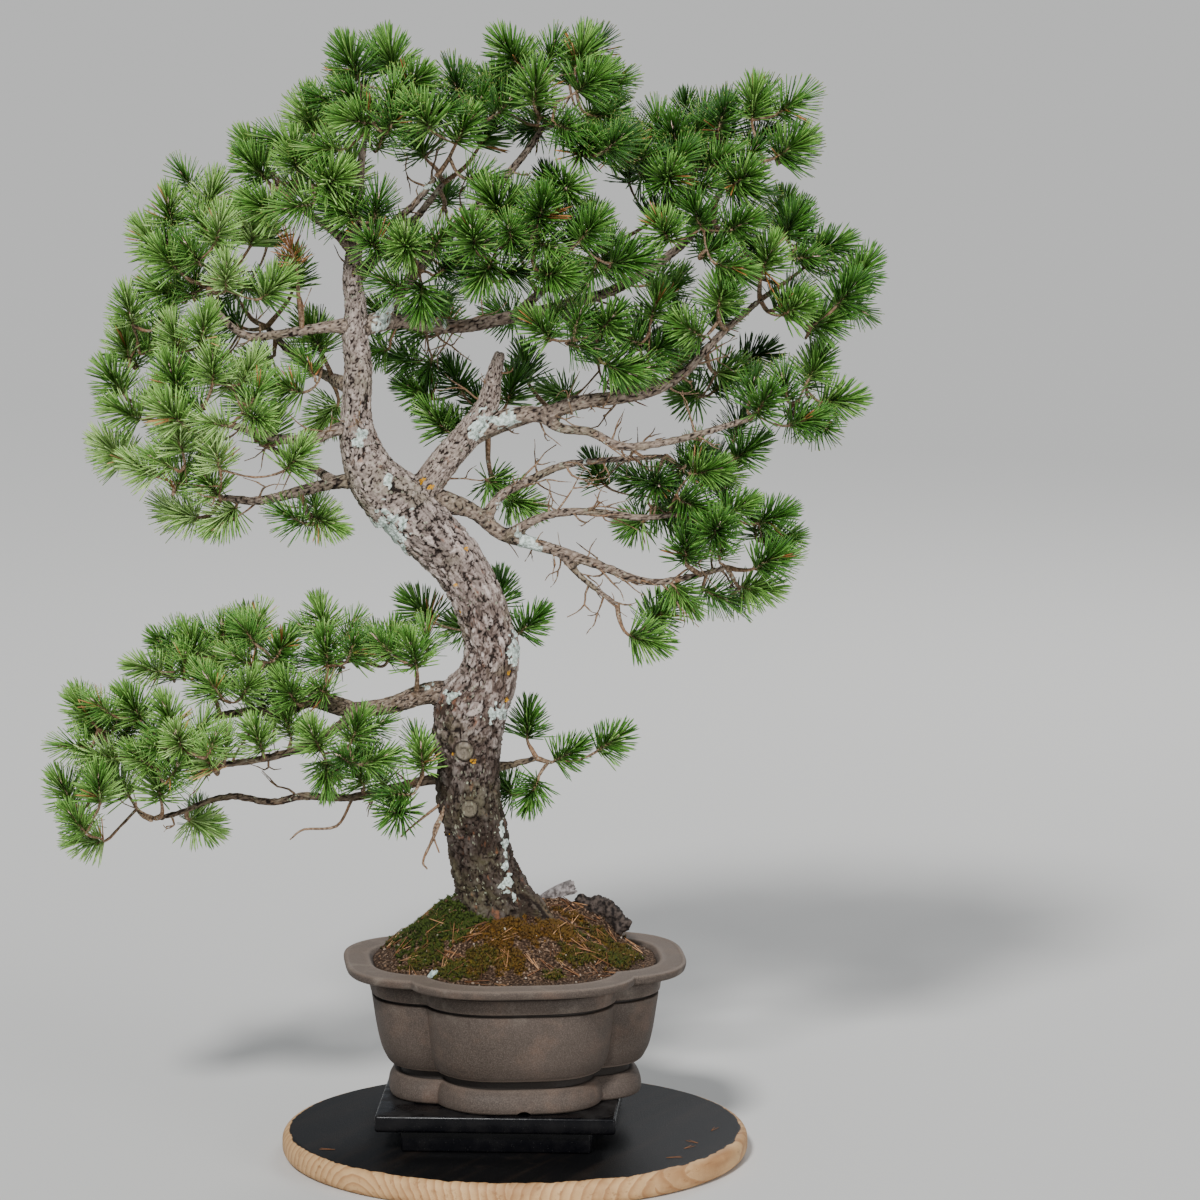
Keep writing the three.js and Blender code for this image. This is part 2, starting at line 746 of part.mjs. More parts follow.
function soilShape(cutters) {
  const inner = POT_SECTION[POT_SECTION.length - 1];
  const upper = POT_SECTION[POT_SECTION.length - 2];
  const bottom = POT_FLOOR + SCREEN.thickness + FIT_GAP;
  const wallAt = (height) =>
    THREE.MathUtils.mapLinear(height, inner[0], upper[0], inner[1], upper[1]) - SOIL.wallGap;
  const edge = lobedOutline(wallAt(SOIL.edge), SOIL.edge);
  const domes = SOIL.rings.map((share) =>
    edge.map((p) => {
      const x = THREE.MathUtils.lerp(SOIL.centre[0], p.x, share);
      const y = THREE.MathUtils.lerp(SOIL.centre[1], p.y, share);
      return new THREE.Vector3(x, y, soilHeight(x, y));
    }),
  );
  const mound = solidFrom(loft([lobedOutline(wallAt(bottom), bottom), edge, ...domes]));
  return geometryOf(cutBy(mound, cutters));
}

function oldRootShape(grow = 0) {
  const { points, radii } = smoothLine(OLD_ROOT, 2);
  const knots = (angle, height) => 1 + 0.16 * Math.sin(3 * angle + height / 4);
  return limbShape(points, radii, 7, { relief: knots, grow });
}

function chipShape(grow = 0) {
  const { length, width, thickness, place, lean, turn } = WOOD_CHIP;
  const outline = new THREE.Shape([
    new THREE.Vector2(-length / 2 - grow, -width * 0.3 - grow),
    new THREE.Vector2(length * 0.3 + grow, -width / 2 - grow),
    new THREE.Vector2(length / 2 + grow, 0),
    new THREE.Vector2(length * 0.2 + grow, width * 0.4 + grow),
    new THREE.Vector2(-length * 0.4 - grow, width * 0.3 + grow),
  ]);
  const slab = new THREE.ExtrudeGeometry(outline, { depth: thickness + 2 * grow, bevelEnabled: false });
  return slab.translate(0, 0, -grow).rotateY(lean).rotateZ(turn).translate(...place);
}

// The tree's wood

// The trunk's surface: broad ridges of bark above, and root swellings near the soil
function trunkRelief(angle, height) {
  const above = THREE.MathUtils.smoothstep(height, 222, 250);
  const nearSoil = THREE.MathUtils.smoothstep(height, 160, 215);
  const belowBark = 1 - THREE.MathUtils.smoothstep(height, 222, 275);
  const ridges = BARK_RIDGES.map(({ size, count, rise }) => size * Math.sin(count * angle + height / rise));
  const roots = ROOT_SWELLINGS.map(({ size, count, turn }) => size * Math.sin(count * angle + turn));
  return 1 + above * (ridges[0] + ridges[1]) + nearSoil * belowBark * (roots[0] + roots[1]);
}

function trunkShape(grow = 0) {
  const radii = TRUNK.map(([, , , radius]) => radius);
  return limbShape(TRUNK.map(vector), radii, TRUNK_SIDES, { relief: trunkRelief, grow });
}

// Marks the room that the trunk or a limb takes, with a margin for its bark
function takeWood(limb, line, margin) {
  for (let i = 0; i < line.length - 1; i += 1) {
    take({
      from: vector(line[i]),
      to: vector(line[i + 1]),
      fromRadius: line[i][3] * margin,
      toRadius: line[i + 1][3] * margin,
      limb,
    });
  }
}

// A place on a limb, by its distance from the limb's first point, with the radius and direction there
function placeOnLimb(line, distance) {
  let left = distance;
  for (let i = 0; i < line.length - 1; i += 1) {
    const from = vector(line[i]);
    const to = vector(line[i + 1]);
    const length = from.distanceTo(to);
    if (left <= length || i === line.length - 2) {
      const share = Math.min(1, left / length);
      const radius = THREE.MathUtils.lerp(line[i][3], line[i + 1][3], share);
      const along = to.clone().sub(from).normalize();
      return { point: from.lerp(to, share), radius, along };
    }
    left -= length;
  }
  return null;
}

function limbLength(line) {
  return line.slice(1).reduce((sum, point, i) => sum + vector(point).distanceTo(vector(line[i])), 0);
}

// How far along a limb lies the point nearest to a place, leaving out the stretch inside its parent
function nearestAlong(line, place) {
  const gapAt = (distance) => placeOnLimb(line, distance).point.distanceTo(place);
  const length = limbLength(line);
  let best = length;
  for (let distance = FOOT.first; distance < length; distance += FOOT.step) {
    if (gapAt(distance) < gapAt(best)) best = distance;
  }
  return best;
}

// Where a spray starts: the end of its limb, or a short stub beside it where that end is taken
const usedEnds = new Set();

function footFor(spray, limb, tufts) {
  const line = LIMBS[limb];
  const middle = new THREE.Vector3();
  tufts.forEach((tuft) => middle.addScaledVector(tuft, 1 / tufts.length));
  const nearest = nearestAlong(line, middle);
  const length = limbLength(line);
  if (length - nearest < FOOT.endReach && !usedEnds.has(limb)) {
    usedEnds.add(limb);
    const { point, radius, along } = placeOnLimb(line, length);
    return withLead({ point, radius, along, stub: null }, spray);
  }
  for (const shift of FOOT.shifts) {
    const distance = THREE.MathUtils.clamp(nearest + shift, FOOT.first, length - FOOT.endReach);
    const place = placeOnLimb(line, distance);
    const sideways = middle.clone().sub(place.point);
    sideways.addScaledVector(place.along, -sideways.dot(place.along)).normalize();
    const along = sideways.addScaledVector(place.along, FOOT.forward).normalize();
    const point = place.point.clone().addScaledVector(along, place.radius + STUB.length);
    const foot = withLead({ point, radius: STUB.radius, along, stub: [place.point, point] }, spray);
    const room = { from: place.point, to: foot.lead, fromRadius: STUB.radius, toRadius: STUB.radius };
    if (isClear(room, (other) => other.limb === limb)) {
      take({ ...room, to: point, limb: `${limb} stub` });
      return foot;
    }
  }
  throw new Error(`${spray} finds no free place on ${limb}`);
}

// The spray's first stretch of stem, straight out of its foot
function withLead(foot, spray) {
  const start = foot.point.clone().addScaledVector(foot.along, FIT_GAP);
  const lead = start.clone().addScaledVector(foot.along, LEAD.perRadius * foot.radius + LEAD.extra);
  return { ...foot, spray, start, lead, stemRadius: foot.radius - LEAD.narrower };
}

// Sprays

// A shoot with its twig: three-sided sections along a path, ending in a core whose faces bear needles
function shootShape(shoot) {
  const { path, radii, axis } = shoot;
  const coreBase = path[path.length - 1];
  const centres = [...path];
  const sizes = [...radii];
  for (let band = 1; band <= SHOOT.bands; band += 1) {
    centres.push(coreBase.clone().addScaledVector(axis, (SHOOT.length * band) / SHOOT.bands));
    sizes.push(SHOOT.radius * (1 - SHOOT.taper * band));
  }
  const frames = framesAlong(centres);
  const points = centres.flatMap((centre, i) =>
    [0, 1, 2].map((j) => {
      const angle = (2 * Math.PI * j) / 3 + SHOOT.turn * i;
      return centre
        .clone()
        .addScaledVector(frames[i].side, sizes[i] * Math.cos(angle))
        .addScaledVector(frames[i].across, sizes[i] * Math.sin(angle));
    }),
  );
  const faces = [[2, 1, 0]];
  const raise = (face, tip) => {
    const top = points.push(tip) - 1;
    faces.push([face[0], face[1], top], [face[1], face[2], top], [face[2], face[0], top]);
  };
  for (let i = 0; i < centres.length - 1; i += 1) {
    for (let j = 0; j < 3; j += 1) {
      const next = (j + 1) % 3;
      const lower = [3 * i + j, 3 * i + next, 3 * i + 3 + j];
      const upper = [3 * i + next, 3 * i + 3 + next, 3 * i + 3 + j];
      for (const face of [lower, upper]) {
        const band = i - path.length + 1;
        const tip = band < 0 ? null : needleTip(face.map((k) => points[k]), centres[i], band, shoot);
        if (tip) raise(face, tip);
        else faces.push(face);
      }
    }
  }
  const last = 3 * (centres.length - 1);
  raise([last, last + 1, last + 2], centres[centres.length - 1].clone().addScaledVector(axis, SHOOT.bud));
  return geometryFrom(points, faces);
}

// The tip of the needle on one face of a core, or null where no needle has room
function needleTip(corners, coreStart, band, shoot) {
  const { axis, seed, spray, order } = shoot;
  const root = new THREE.Vector3();
  corners.forEach((corner) => root.addScaledVector(corner, 1 / 3));
  const rise = root.clone().sub(coreStart).dot(axis);
  const outward = root.clone().sub(coreStart).addScaledVector(axis, -rise).normalize();
  const share = (band + (rise * SHOOT.bands) / SHOOT.length) / SHOOT.bands;
  const facing = Math.round(10 * (outward.x + 2 * outward.y + 3 * outward.z));
  if (chance(facing + 0.5, seed) < NEEDLE.leftOut) return null;
  const lean =
    THREE.MathUtils.lerp(LEAN_AT_BASE, LEAN_AT_TIP, share) + (2 * chance(seed, facing) - 1) * LEAN_SPREAD;
  const direction = outward.multiplyScalar(Math.sin(lean)).addScaledVector(axis, Math.cos(lean));
  const length = NEEDLE.length + (2 * chance(facing, seed) - 1) * NEEDLE.spread;
  for (const part of NEEDLE_TRIES) {
    const tip = root.clone().addScaledVector(direction, length * part);
    const line = { from: root, to: tip, fromRadius: NEEDLE.root, toRadius: NEEDLE.tip, spray, order };
    if (isClear(line, (other) => other.spray === spray && other.order === order)) {
      take(line);
      return tip;
    }
  }
  return null;
}

// The middles of the tufts of a rounded mass, spread evenly by the golden angle
function roundedTufts([x, y, z], [halfX, halfY, halfZ], count) {
  return Array.from({ length: count }, (_, i) => {
    const rise = MASS.top - (MASS.span * (i + 0.5)) / count;
    const out = Math.sqrt(1 - rise * rise);
    const angle = (i + MASS.turn) * GOLDEN_ANGLE;
    const onBall = new THREE.Vector3(out * Math.cos(angle), out * Math.sin(angle), rise);
    return onBall.multiply(new THREE.Vector3(halfX, halfY, halfZ)).add(new THREE.Vector3(x, y, z));
  });
}

// A shoot's core at a tuft, turned up and away from the trunk
function shootAt(root, tuft) {
  const away = new THREE.Vector3(tuft.x - TREE_MIDDLE_X, tuft.y, 0).normalize();
  const axis = tuft.clone().sub(root).normalize().addScaledVector(away, SHOOT.out);
  axis.add(new THREE.Vector3(0, 0, SHOOT.up)).normalize();
  const base = tuft.clone().addScaledVector(axis, -SHOOT.length / 2);
  return { axis, base, tip: base.clone().addScaledVector(axis, SHOOT.length + SHOOT.bud) };
}

// The shoot for a tuft, with the tuft moved a little where wood or another spray is in its way
function clearShoot(root, tuft, radius, spray) {
  for (const distance of TUFT_SHIFTS) {
    for (let i = 0; i < SHIFT_WAYS; i += 1) {
      const angle = i * GOLDEN_ANGLE;
      const way = new THREE.Vector3(Math.cos(angle), Math.sin(angle), 1 - i / 3).normalize();
      const shoot = shootAt(root, tuft.clone().addScaledVector(way, distance));
      const twig = { from: root, to: shoot.base, fromRadius: radius, toRadius: SHOOT.radius };
      const core = { from: shoot.base, to: shoot.tip, fromRadius: SHOOT.radius, toRadius: SHOOT.radius };
      if (isClear(twig, (other) => other.spray === spray) && isClear(core, () => false)) return shoot;
    }
  }
  return null;
}

// Plans a spray: from its foot, a twig to every tuft from the nearest twig before it
function planSpray(foot, tufts, number) {
  const { spray, start, lead, stemRadius } = foot;
  const twigs = [];
  const shoots = [];
  const nearestFirst = [...tufts].sort((a, b) => a.distanceTo(start) - b.distanceTo(start));
  nearestFirst.forEach((tuft, order) => {
    const roots = twigs.map(({ from, to, radius }) => {
      const span = new THREE.Line3(from, to);
      const share = span.closestPointToPointParameter(tuft, true) * ROOT_SHARE;
      return { point: span.at(share, new THREE.Vector3()), radius };
    });
    roots.sort((a, b) => a.point.distanceTo(tuft) - b.point.distanceTo(tuft));
    const isStem = shoots.length === 0;
    const root = isStem ? lead : roots[0].point;
    const rootRadius = isStem ? stemRadius : Math.min(roots[0].radius, TWIG_RADIUS);
    const shoot = clearShoot(root, tuft, rootRadius, spray);
    if (!shoot) return;
    const path = isStem ? [start, lead, shoot.base] : [root, shoot.base];
    const radii = isStem ? [stemRadius, stemRadius, SHOOT.radius] : [rootRadius, SHOOT.radius];
    shoots.push({ ...shoot, path, radii, spray, order, seed: 31 * number + order });
    twigs.push({ from: root, to: shoot.base, radius: SHOOT.radius });
    take({ from: root, to: shoot.base, fromRadius: rootRadius, toRadius: SHOOT.radius, spray, order });
    take({ from: shoot.base, to: shoot.tip, fromRadius: SHOOT.radius, toRadius: 1, spray, order });
  });
  return { foot, shoots };
}

// The whole tree: wood and twigs first, so that the needles can keep clear of them

takeWood("trunk", TRUNK, BARK_MARGIN.trunk);
Object.entries(LIMBS).forEach(([limb, line]) => takeWood(limb, line, BARK_MARGIN.limb));

const frontSprays = Object.entries(FRONT_SPRAYS).map(([spray, [limb, ...tufts]]) => {
  return { spray, limb, tufts: tufts.map(vector) };
});
const backSprays = Object.entries(BACK_SPRAYS).map(([spray, [limb, ...mass]]) => {
  return { spray, limb, tufts: roundedTufts(...mass) };
});
const sprays = [...frontSprays, ...backSprays];
const feet = sprays.map(({ spray, limb, tufts }) => footFor(spray, limb, tufts));
for (const { start, lead, stemRadius, spray } of feet) {
  take({ from: start, to: lead, fromRadius: stemRadius, toRadius: stemRadius, spray });
}
const sprayPlans = feet.map((foot, number) => planSpray(foot, sprays[number].tufts, number));

function woodShape() {
  const limbs = Object.entries(LIMBS).map(([name, line]) => {
    const radii = line.map(([, , , radius]) => radius);
    return limbShape(line.map(vector), radii, LIMB_SIDES[name] ?? SLIM_LIMB_SIDES);
  });
  const stubs = sprayPlans
    .filter(({ foot }) => foot.stub)
    .map(({ foot }) => limbShape(foot.stub, [foot.radius, foot.radius], STUB.sides));
  return geometryOf(joined([trunkShape(), ...limbs, ...stubs].map(solidFrom)));
}

const sprayShape = ({ shoots }) => geometryOf(joined(shoots.map((shoot) => solidFrom(shootShape(shoot)))));

// The part

const part = new THREE.Group();
const onBoard = new THREE.Group();
onBoard.position.z = BOARD.thickness;
part.add(onBoard);

function addPiece(parent, name, geometry, material) {
  const mesh = new THREE.Mesh(geometry, material);
  mesh.name = name;
  parent.add(mesh);
}

const [leftHole, rightHole] = drainHolePlaces();
addPiece(part, "round_board", boardShape(), MATERIAL.pine);
addPiece(onBoard, "stand_base", standShape(STAND.base, 0), MATERIAL.lacquer);
addPiece(onBoard, "stand_top", standShape(STAND.top, STAND.base.height), MATERIAL.lacquer);
addPiece(onBoard, "pot", potShape(), MATERIAL.stoneware);
addPiece(onBoard, "drain_screen_left", screenShape(leftHole), MATERIAL.mesh);
addPiece(onBoard, "drain_screen_right", screenShape(rightHole), MATERIAL.mesh);
const soilCutters = [trunkShape(HOLE_GAP), oldRootShape(HOLE_GAP), chipShape(HOLE_GAP)].map(solidFrom);
addPiece(onBoard, "soil", soilShape(soilCutters), MATERIAL.soil);
addPiece(onBoard, "old_root", oldRootShape(), MATERIAL.oldWood);
addPiece(onBoard, "wood_chip", chipShape(), MATERIAL.oldWood);
addPiece(onBoard, "trunk", woodShape(), MATERIAL.bark);
for (const plan of sprayPlans) {
  const { spray } = plan.foot;
  const material = spray === "left_dead_tuft" ? MATERIAL.deadNeedles : MATERIAL.needles;
  addPiece(onBoard, `spray_${spray}`, sprayShape(plan), material);
}

export default part;
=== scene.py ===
# %% [markdown]
# # A Scots pine bonsai
#
# An old pine with a curved trunk grows in a lobed stoneware pot. The pot stands on a low black
# stand, and that on a round board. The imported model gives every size. This lesson builds what
# the model leaves plain: bark, needles, moss, fired clay and worn paint.

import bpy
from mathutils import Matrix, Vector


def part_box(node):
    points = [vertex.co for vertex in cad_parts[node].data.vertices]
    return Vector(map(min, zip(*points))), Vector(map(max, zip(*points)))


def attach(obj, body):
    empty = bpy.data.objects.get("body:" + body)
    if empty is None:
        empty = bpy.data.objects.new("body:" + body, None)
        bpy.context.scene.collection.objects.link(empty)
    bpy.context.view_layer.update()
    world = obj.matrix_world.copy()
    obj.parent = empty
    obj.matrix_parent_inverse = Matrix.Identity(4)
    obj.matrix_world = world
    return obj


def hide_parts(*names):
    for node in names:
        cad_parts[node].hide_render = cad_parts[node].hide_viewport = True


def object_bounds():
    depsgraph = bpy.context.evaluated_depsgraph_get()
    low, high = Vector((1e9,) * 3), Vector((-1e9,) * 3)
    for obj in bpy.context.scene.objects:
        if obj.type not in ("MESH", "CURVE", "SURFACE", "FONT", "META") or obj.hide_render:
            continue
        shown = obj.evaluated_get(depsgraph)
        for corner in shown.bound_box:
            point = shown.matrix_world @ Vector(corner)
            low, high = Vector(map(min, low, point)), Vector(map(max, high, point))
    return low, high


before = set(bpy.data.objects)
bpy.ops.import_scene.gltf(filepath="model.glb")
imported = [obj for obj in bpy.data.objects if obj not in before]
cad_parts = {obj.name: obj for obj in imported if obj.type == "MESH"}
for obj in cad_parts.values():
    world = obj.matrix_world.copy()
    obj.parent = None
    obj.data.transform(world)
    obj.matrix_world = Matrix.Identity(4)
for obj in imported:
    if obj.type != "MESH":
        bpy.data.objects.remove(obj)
cad_low, cad_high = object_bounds()
print("model box in metres:", [round(v, 3) for v in (*cad_low, *cad_high)])

# %% Tools and helpers used all through the lesson
import math

import bmesh
import bpy
import numpy as np
from mathutils import Matrix, Vector, noise

MM = 0.001
BOARD_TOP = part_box("round_board")[1].z
GOLDEN_ANGLE = math.pi * (3 - math.sqrt(5))
ANY_TURN = 6.3

# Noise vectors take their seed from the clock unless they are given one
SEED = 11
noise.seed_set(SEED)


def srgb(red, green, blue):
    """A screen colour, 0 to 255, as the linear values that shaders use."""
    linear = [((c / 255 + 0.055) / 1.055) ** 2.4 if c > 10 else c / 255 / 12.92 for c in (red, green, blue)]
    return (*linear, 1.0)


def place(x, y, height):
    """Millimetres, with the height above the board's top, as a place in metres."""
    return Vector((x * MM, y * MM, BOARD_TOP + height * MM))


def eased(value, low, high):
    """0 below low, 1 above high, and a smooth rise between them."""
    share = np.clip((value - low) / (high - low), 0, 1)
    return share * share * (3 - 2 * share)


def start_fresh():
    """Nothing selected, so that an operator can't touch another piece."""
    bpy.ops.object.select_all(action="DESELECT")


def pick(obj):
    start_fresh()
    obj.select_set(True)
    bpy.context.view_layer.objects.active = obj
    return obj


def settle(obj):
    """Moves the object's place, turn and scale into its mesh."""
    pick(obj)
    bpy.ops.object.transform_apply(location=True, rotation=True, scale=True)
    return obj


def apply_modifier(obj, kind, **settings):
    modifier = obj.modifiers.new(kind.title(), kind)
    for name, value in settings.items():
        setattr(modifier, name, value)
    pick(obj)
    bpy.ops.object.modifier_apply(modifier=modifier.name)
    return obj


def smooth_by_angle(obj, degrees):
    pick(obj)
    bpy.ops.object.shade_smooth_by_angle(angle=math.radians(degrees))
    return obj


def corners_of(obj):
    """The mesh's points as an array of x, y, z in metres."""
    points = np.empty(len(obj.data.vertices) * 3)
    obj.data.vertices.foreach_get("co", points)
    return points.reshape(-1, 3)


def move_corners(obj, points):
    obj.data.vertices.foreach_set("co", np.asarray(points).ravel())
    obj.data.update()


def noise_at(points, size, shift=(0, 0, 0)):
    """Smooth noise from -1 to 1 at each point, with lumps of a size in millimetres."""
    return np.array([noise.noise(Vector(point) / (size * MM) + Vector(shift)) for point in points])


def raise_surface(obj, heights):
    """Moves each point along its normal by its own height in millimetres."""
    points = corners_of(obj)
    normals = np.empty(points.size)
    obj.data.vertex_normals.foreach_get("vector", normals)
    move_corners(obj, points + normals.reshape(-1, 3) * (heights * MM)[:, None])


def mark(obj, name, values):
    """Stores one number a point, or one vector a point, for the material to read."""
    values = np.asarray(values, np.float32)
    kind, field = ("FLOAT", "value") if values.ndim == 1 else ("FLOAT_VECTOR", "vector")
    obj.data.attributes.new(name, kind, "POINT").data.foreach_set(field, values.ravel())


def triangles_of(obj):
    return sum(len(face.vertices) - 2 for face in obj.data.polygons)


def hand_over(obj, name, slot, finish, *nodes):
    """Names a finished piece, gives it its finish, hangs it on the root and hides the nodes it stands for."""
    obj.name = obj.data.name = name
    obj.data.materials.clear()
    obj.data.materials.append(finish)
    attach(obj, "root")
    if nodes:
        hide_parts(*nodes)
    print(f"{name}: {triangles_of(obj)} triangles")
    return obj


# %% [markdown]
# ## The camera, the floor and the light
#
# The photograph was taken from far off with a long lens. The pot's rim, seen as a flat oval,
# shows that the camera looked down by about nine degrees. A big soft lamp stands at the upper
# left, as in the photograph, and weaker ones fill the shadows and draw the tree's edge.

# %% The camera at the photograph's angle
CAMERA_PLACE = (0.085, -6.327, 1.607)
CAMERA_DOWN = math.radians(9.4)

start_fresh()
bpy.ops.object.camera_add(location=CAMERA_PLACE, rotation=(math.pi / 2 - CAMERA_DOWN, 0, 0))
camera = bpy.context.object
camera.data.sensor_width = 36
camera.data.lens = 195
camera.data.clip_end = 200
bpy.context.scene.camera = camera
print("camera looks down by", round(math.degrees(CAMERA_DOWN), 1), "degrees")

# %% The floor, the lamps and the sky
TREE_MIDDLE = Vector((-0.05, 0, 0.65))
KEY = {"from": (-0.9, -2.9, 3.1), "strength": 3.7, "softness": math.radians(9)}
LAMPS = {
    "fill_lamp": {"from": (2.8, -3.0, 0.9), "size": 1.4, "power": 75},
    "back_lamp": {"from": (1.2, 3.2, 2.6), "size": 1.6, "power": 45},
}
SKY = {"colour": (222, 228, 236), "strength": 0.38}
FLOOR = {"size": 120, "colour": (206, 205, 202), "roughness": 0.9}

start_fresh()
bpy.ops.mesh.primitive_plane_add(size=FLOOR["size"])
floor = bpy.context.object
floor.name = "floor"
floor_paint = bpy.data.materials.new("floor_paint")
floor_paint.use_nodes = True
paint_inputs = floor_paint.node_tree.nodes["Principled BSDF"].inputs
paint_inputs["Base Color"].default_value = srgb(*FLOOR["colour"])
paint_inputs["Roughness"].default_value = FLOOR["roughness"]
floor.data.materials.append(floor_paint)


def aimed_lamp(name, kind, start):
    start_fresh()
    bpy.ops.object.light_add(type=kind, location=start)
    light = bpy.context.object
    light.name = name
    light.rotation_euler = (TREE_MIDDLE - Vector(start)).to_track_quat("-Z", "Y").to_euler()
    return light.data


key_light = aimed_lamp("key_light", "SUN", KEY["from"])
key_light.energy = KEY["strength"]
key_light.angle = KEY["softness"]
for name, lamp in LAMPS.items():
    light = aimed_lamp(name, "AREA", lamp["from"])
    light.size = lamp["size"]
    light.energy = lamp["power"]

sky = bpy.data.worlds.new("pale_sky")
sky.use_nodes = True
sky_inputs = sky.node_tree.nodes["Background"].inputs
sky_inputs["Color"].default_value = srgb(*SKY["colour"])
sky_inputs["Strength"].default_value = SKY["strength"]
bpy.context.scene.world = sky
print("lamps:", ["key_light", *LAMPS])

# %% [markdown]
# ## How a finish is wired
#
# Each finish is one Principled shader fed by patterns that read the piece's own object
# coordinates. Node wiring in code is long-winded, so two small classes shorten it: one adds and
# joins nodes in any tree, the other makes a material and lays one colour over another. Blotches,
# grit and dots come back in many finishes, so each of them is a node group.

# %% Short calls that add nodes and join them


class Wiring:
    """A node tree, with short calls that add nodes to it and join them."""

    def __init__(self, tree):
        self.tree = tree

    def join(self, value, socket):
        """Feeds a socket from another socket, or sets it to a plain value."""
        if isinstance(value, bpy.types.NodeSocket):
            self.tree.links.new(value, socket)
        else:
            socket.default_value = value

    def add(self, kind, output, inputs, **settings):
        """Adds a node and hands back one of its outputs."""
        node = self.tree.nodes.new("ShaderNode" + kind)
        for name, value in settings.items():
            setattr(node, name, value)
        for name, value in inputs.items():
            self.join(value, node.inputs[name])
        return node.outputs[output]

    def noise(self, spot, scale, detail=4, roughness=0.5):
        wanted = {"Vector": spot, "Scale": scale, "Detail": detail, "Roughness": roughness}
        return self.add("TexNoise", "Fac", wanted)

    def math(self, operation, *values):
        return self.add("Math", 0, dict(enumerate(values)), operation=operation)

    def times(self, first, second):
        return self.math("MULTIPLY", first, second)

    def plus(self, first, second):
        return self.math("ADD", first, second)

    def steps(self, value, low, high, at_low=0.0, at_high=1.0):
        """A value eased from one range to another and held at its ends."""
        ends = {"Value": value, "From Min": low, "From Max": high, "To Min": at_low, "To Max": at_high}
        return self.add("MapRange", "Result", ends, interpolation_type="SMOOTHSTEP")


class Finish(Wiring):
    """A material with a Principled shader. A colour is three numbers from 0 to 255, or a socket."""

    def __init__(self, name, roughness, specular=0.5):
        self.material = bpy.data.materials.new(name)
        self.material.use_nodes = True
        super().__init__(self.material.node_tree)
        self.set("Roughness", roughness)
        self.set("Specular IOR Level", specular)
        self.spot = self.add("TexCoord", "Object", {})

    def set(self, name, value):
        self.join(value, self.tree.nodes["Principled BSDF"].inputs[name])

    def marked(self, name, output="Fac"):
        return self.add("Attribute", output, {}, attribute_name=name)

    def parts(self, vector):
        return self.add("SeparateXYZ", 0, {0: vector}).node.outputs

    def stretched(self, spot, *by):
        return self.add("VectorMath", "Vector", {0: spot, 1: by}, operation="MULTIPLY")

    def mix(self, share, *colours):
        first, second = (srgb(*shade) if isinstance(shade, tuple) else shade for shade in colours)
        return self.add("Mix", "Result", {"Factor": share, "A": first, "B": second}, data_type="RGBA")

    def over(self, base, mask, strength, colour):
        """A colour laid over a base where a mask is, as thick as its strength."""
        return self.mix(self.times(mask, strength), base, colour)

    def ramp(self, value, stops):
        """Colours at places from 0 to 1 along a value."""
        made = self.add("ValToRGB", "Color", {"Fac": value})
        elements = made.node.color_ramp.elements
        while len(elements) < len(stops):
            elements.new(0.5)
        for element, (position, shade) in zip(elements, stops.items()):
            element.position = position
            element.color = srgb(*shade)
        return made

    def at(self, spot):
        """A place that was asked for, or else the place on the piece."""
        return self.spot if spot is None else spot

    def blotches(self, scale, middle, softness, spot=None):
        wanted = {"Place": self.at(spot), "Scale": scale, "Middle": middle, "Softness": softness}
        return self.add("Group", 0, wanted, node_tree=BLOTCHES)

    def dots(self, scale, size, share, spot=None):
        wanted = {"Place": self.at(spot), "Scale": scale, "Size": size, "Share": share}
        return self.add("Group", 0, wanted, node_tree=DOTS)

    def relief(self, height, depth):
        """Bump from a height pattern, with its depth in millimetres."""
        bump = {"Height": height, "Distance": depth * MM, "Strength": 1.0}
        self.set("Normal", self.add("Bump", "Normal", bump))

    def grit(self, scale, pits, depth):
        wanted = {"Place": self.spot, "Scale": scale, "Pits": pits}
        self.relief(self.add("Group", 0, wanted, node_tree=GRIT), depth)

    def done(self, colour):
        self.set("Base Color", colour)
        return self.material


# %% The shared effects


def new_group(name, **inputs):
    """A node group that reads a place and some numbers."""
    tree = bpy.data.node_groups.new(name, "ShaderNodeTree")
    tree.interface.new_socket("Place", in_out="INPUT", socket_type="NodeSocketVector")
    for label, value in inputs.items():
        socket = tree.interface.new_socket(label, in_out="INPUT", socket_type="NodeSocketFloat")
        socket.default_value = value
    return Wiring(tree), tree.nodes.new("NodeGroupInput").outputs


def put_out(group, name, value):
    """Ends a group with its one output."""
    group.tree.interface.new_socket(name, in_out="OUTPUT", socket_type="NodeSocketFloat")
    group.join(value, group.tree.nodes.new("NodeGroupOutput").inputs[name])
    return group.tree


def blotches_group():
    """Uneven blotches: a noise cut off at a height, with a soft or a hard edge."""
    group, given = new_group("blotches", Scale=20, Middle=0.5, Softness=0.1)
    broad = group.noise(given["Place"], given["Scale"], 6, 0.62)
    ends = [group.math(operation, given["Middle"], given["Softness"]) for operation in ("SUBTRACT", "ADD")]
    return put_out(group, "Mask", group.steps(broad, *ends))


def grit_group():
    """Fine relief: a grainy noise with pits from a cell pattern."""
    group, given = new_group("grit", Scale=400, Pits=0.4)
    grain = group.noise(given["Place"], given["Scale"])
    cells = group.add("TexVoronoi", "Distance", {"Vector": given["Place"], "Scale": given["Scale"]})
    return put_out(group, "Height", group.math("MULTIPLY_ADD", cells, given["Pits"], grain))


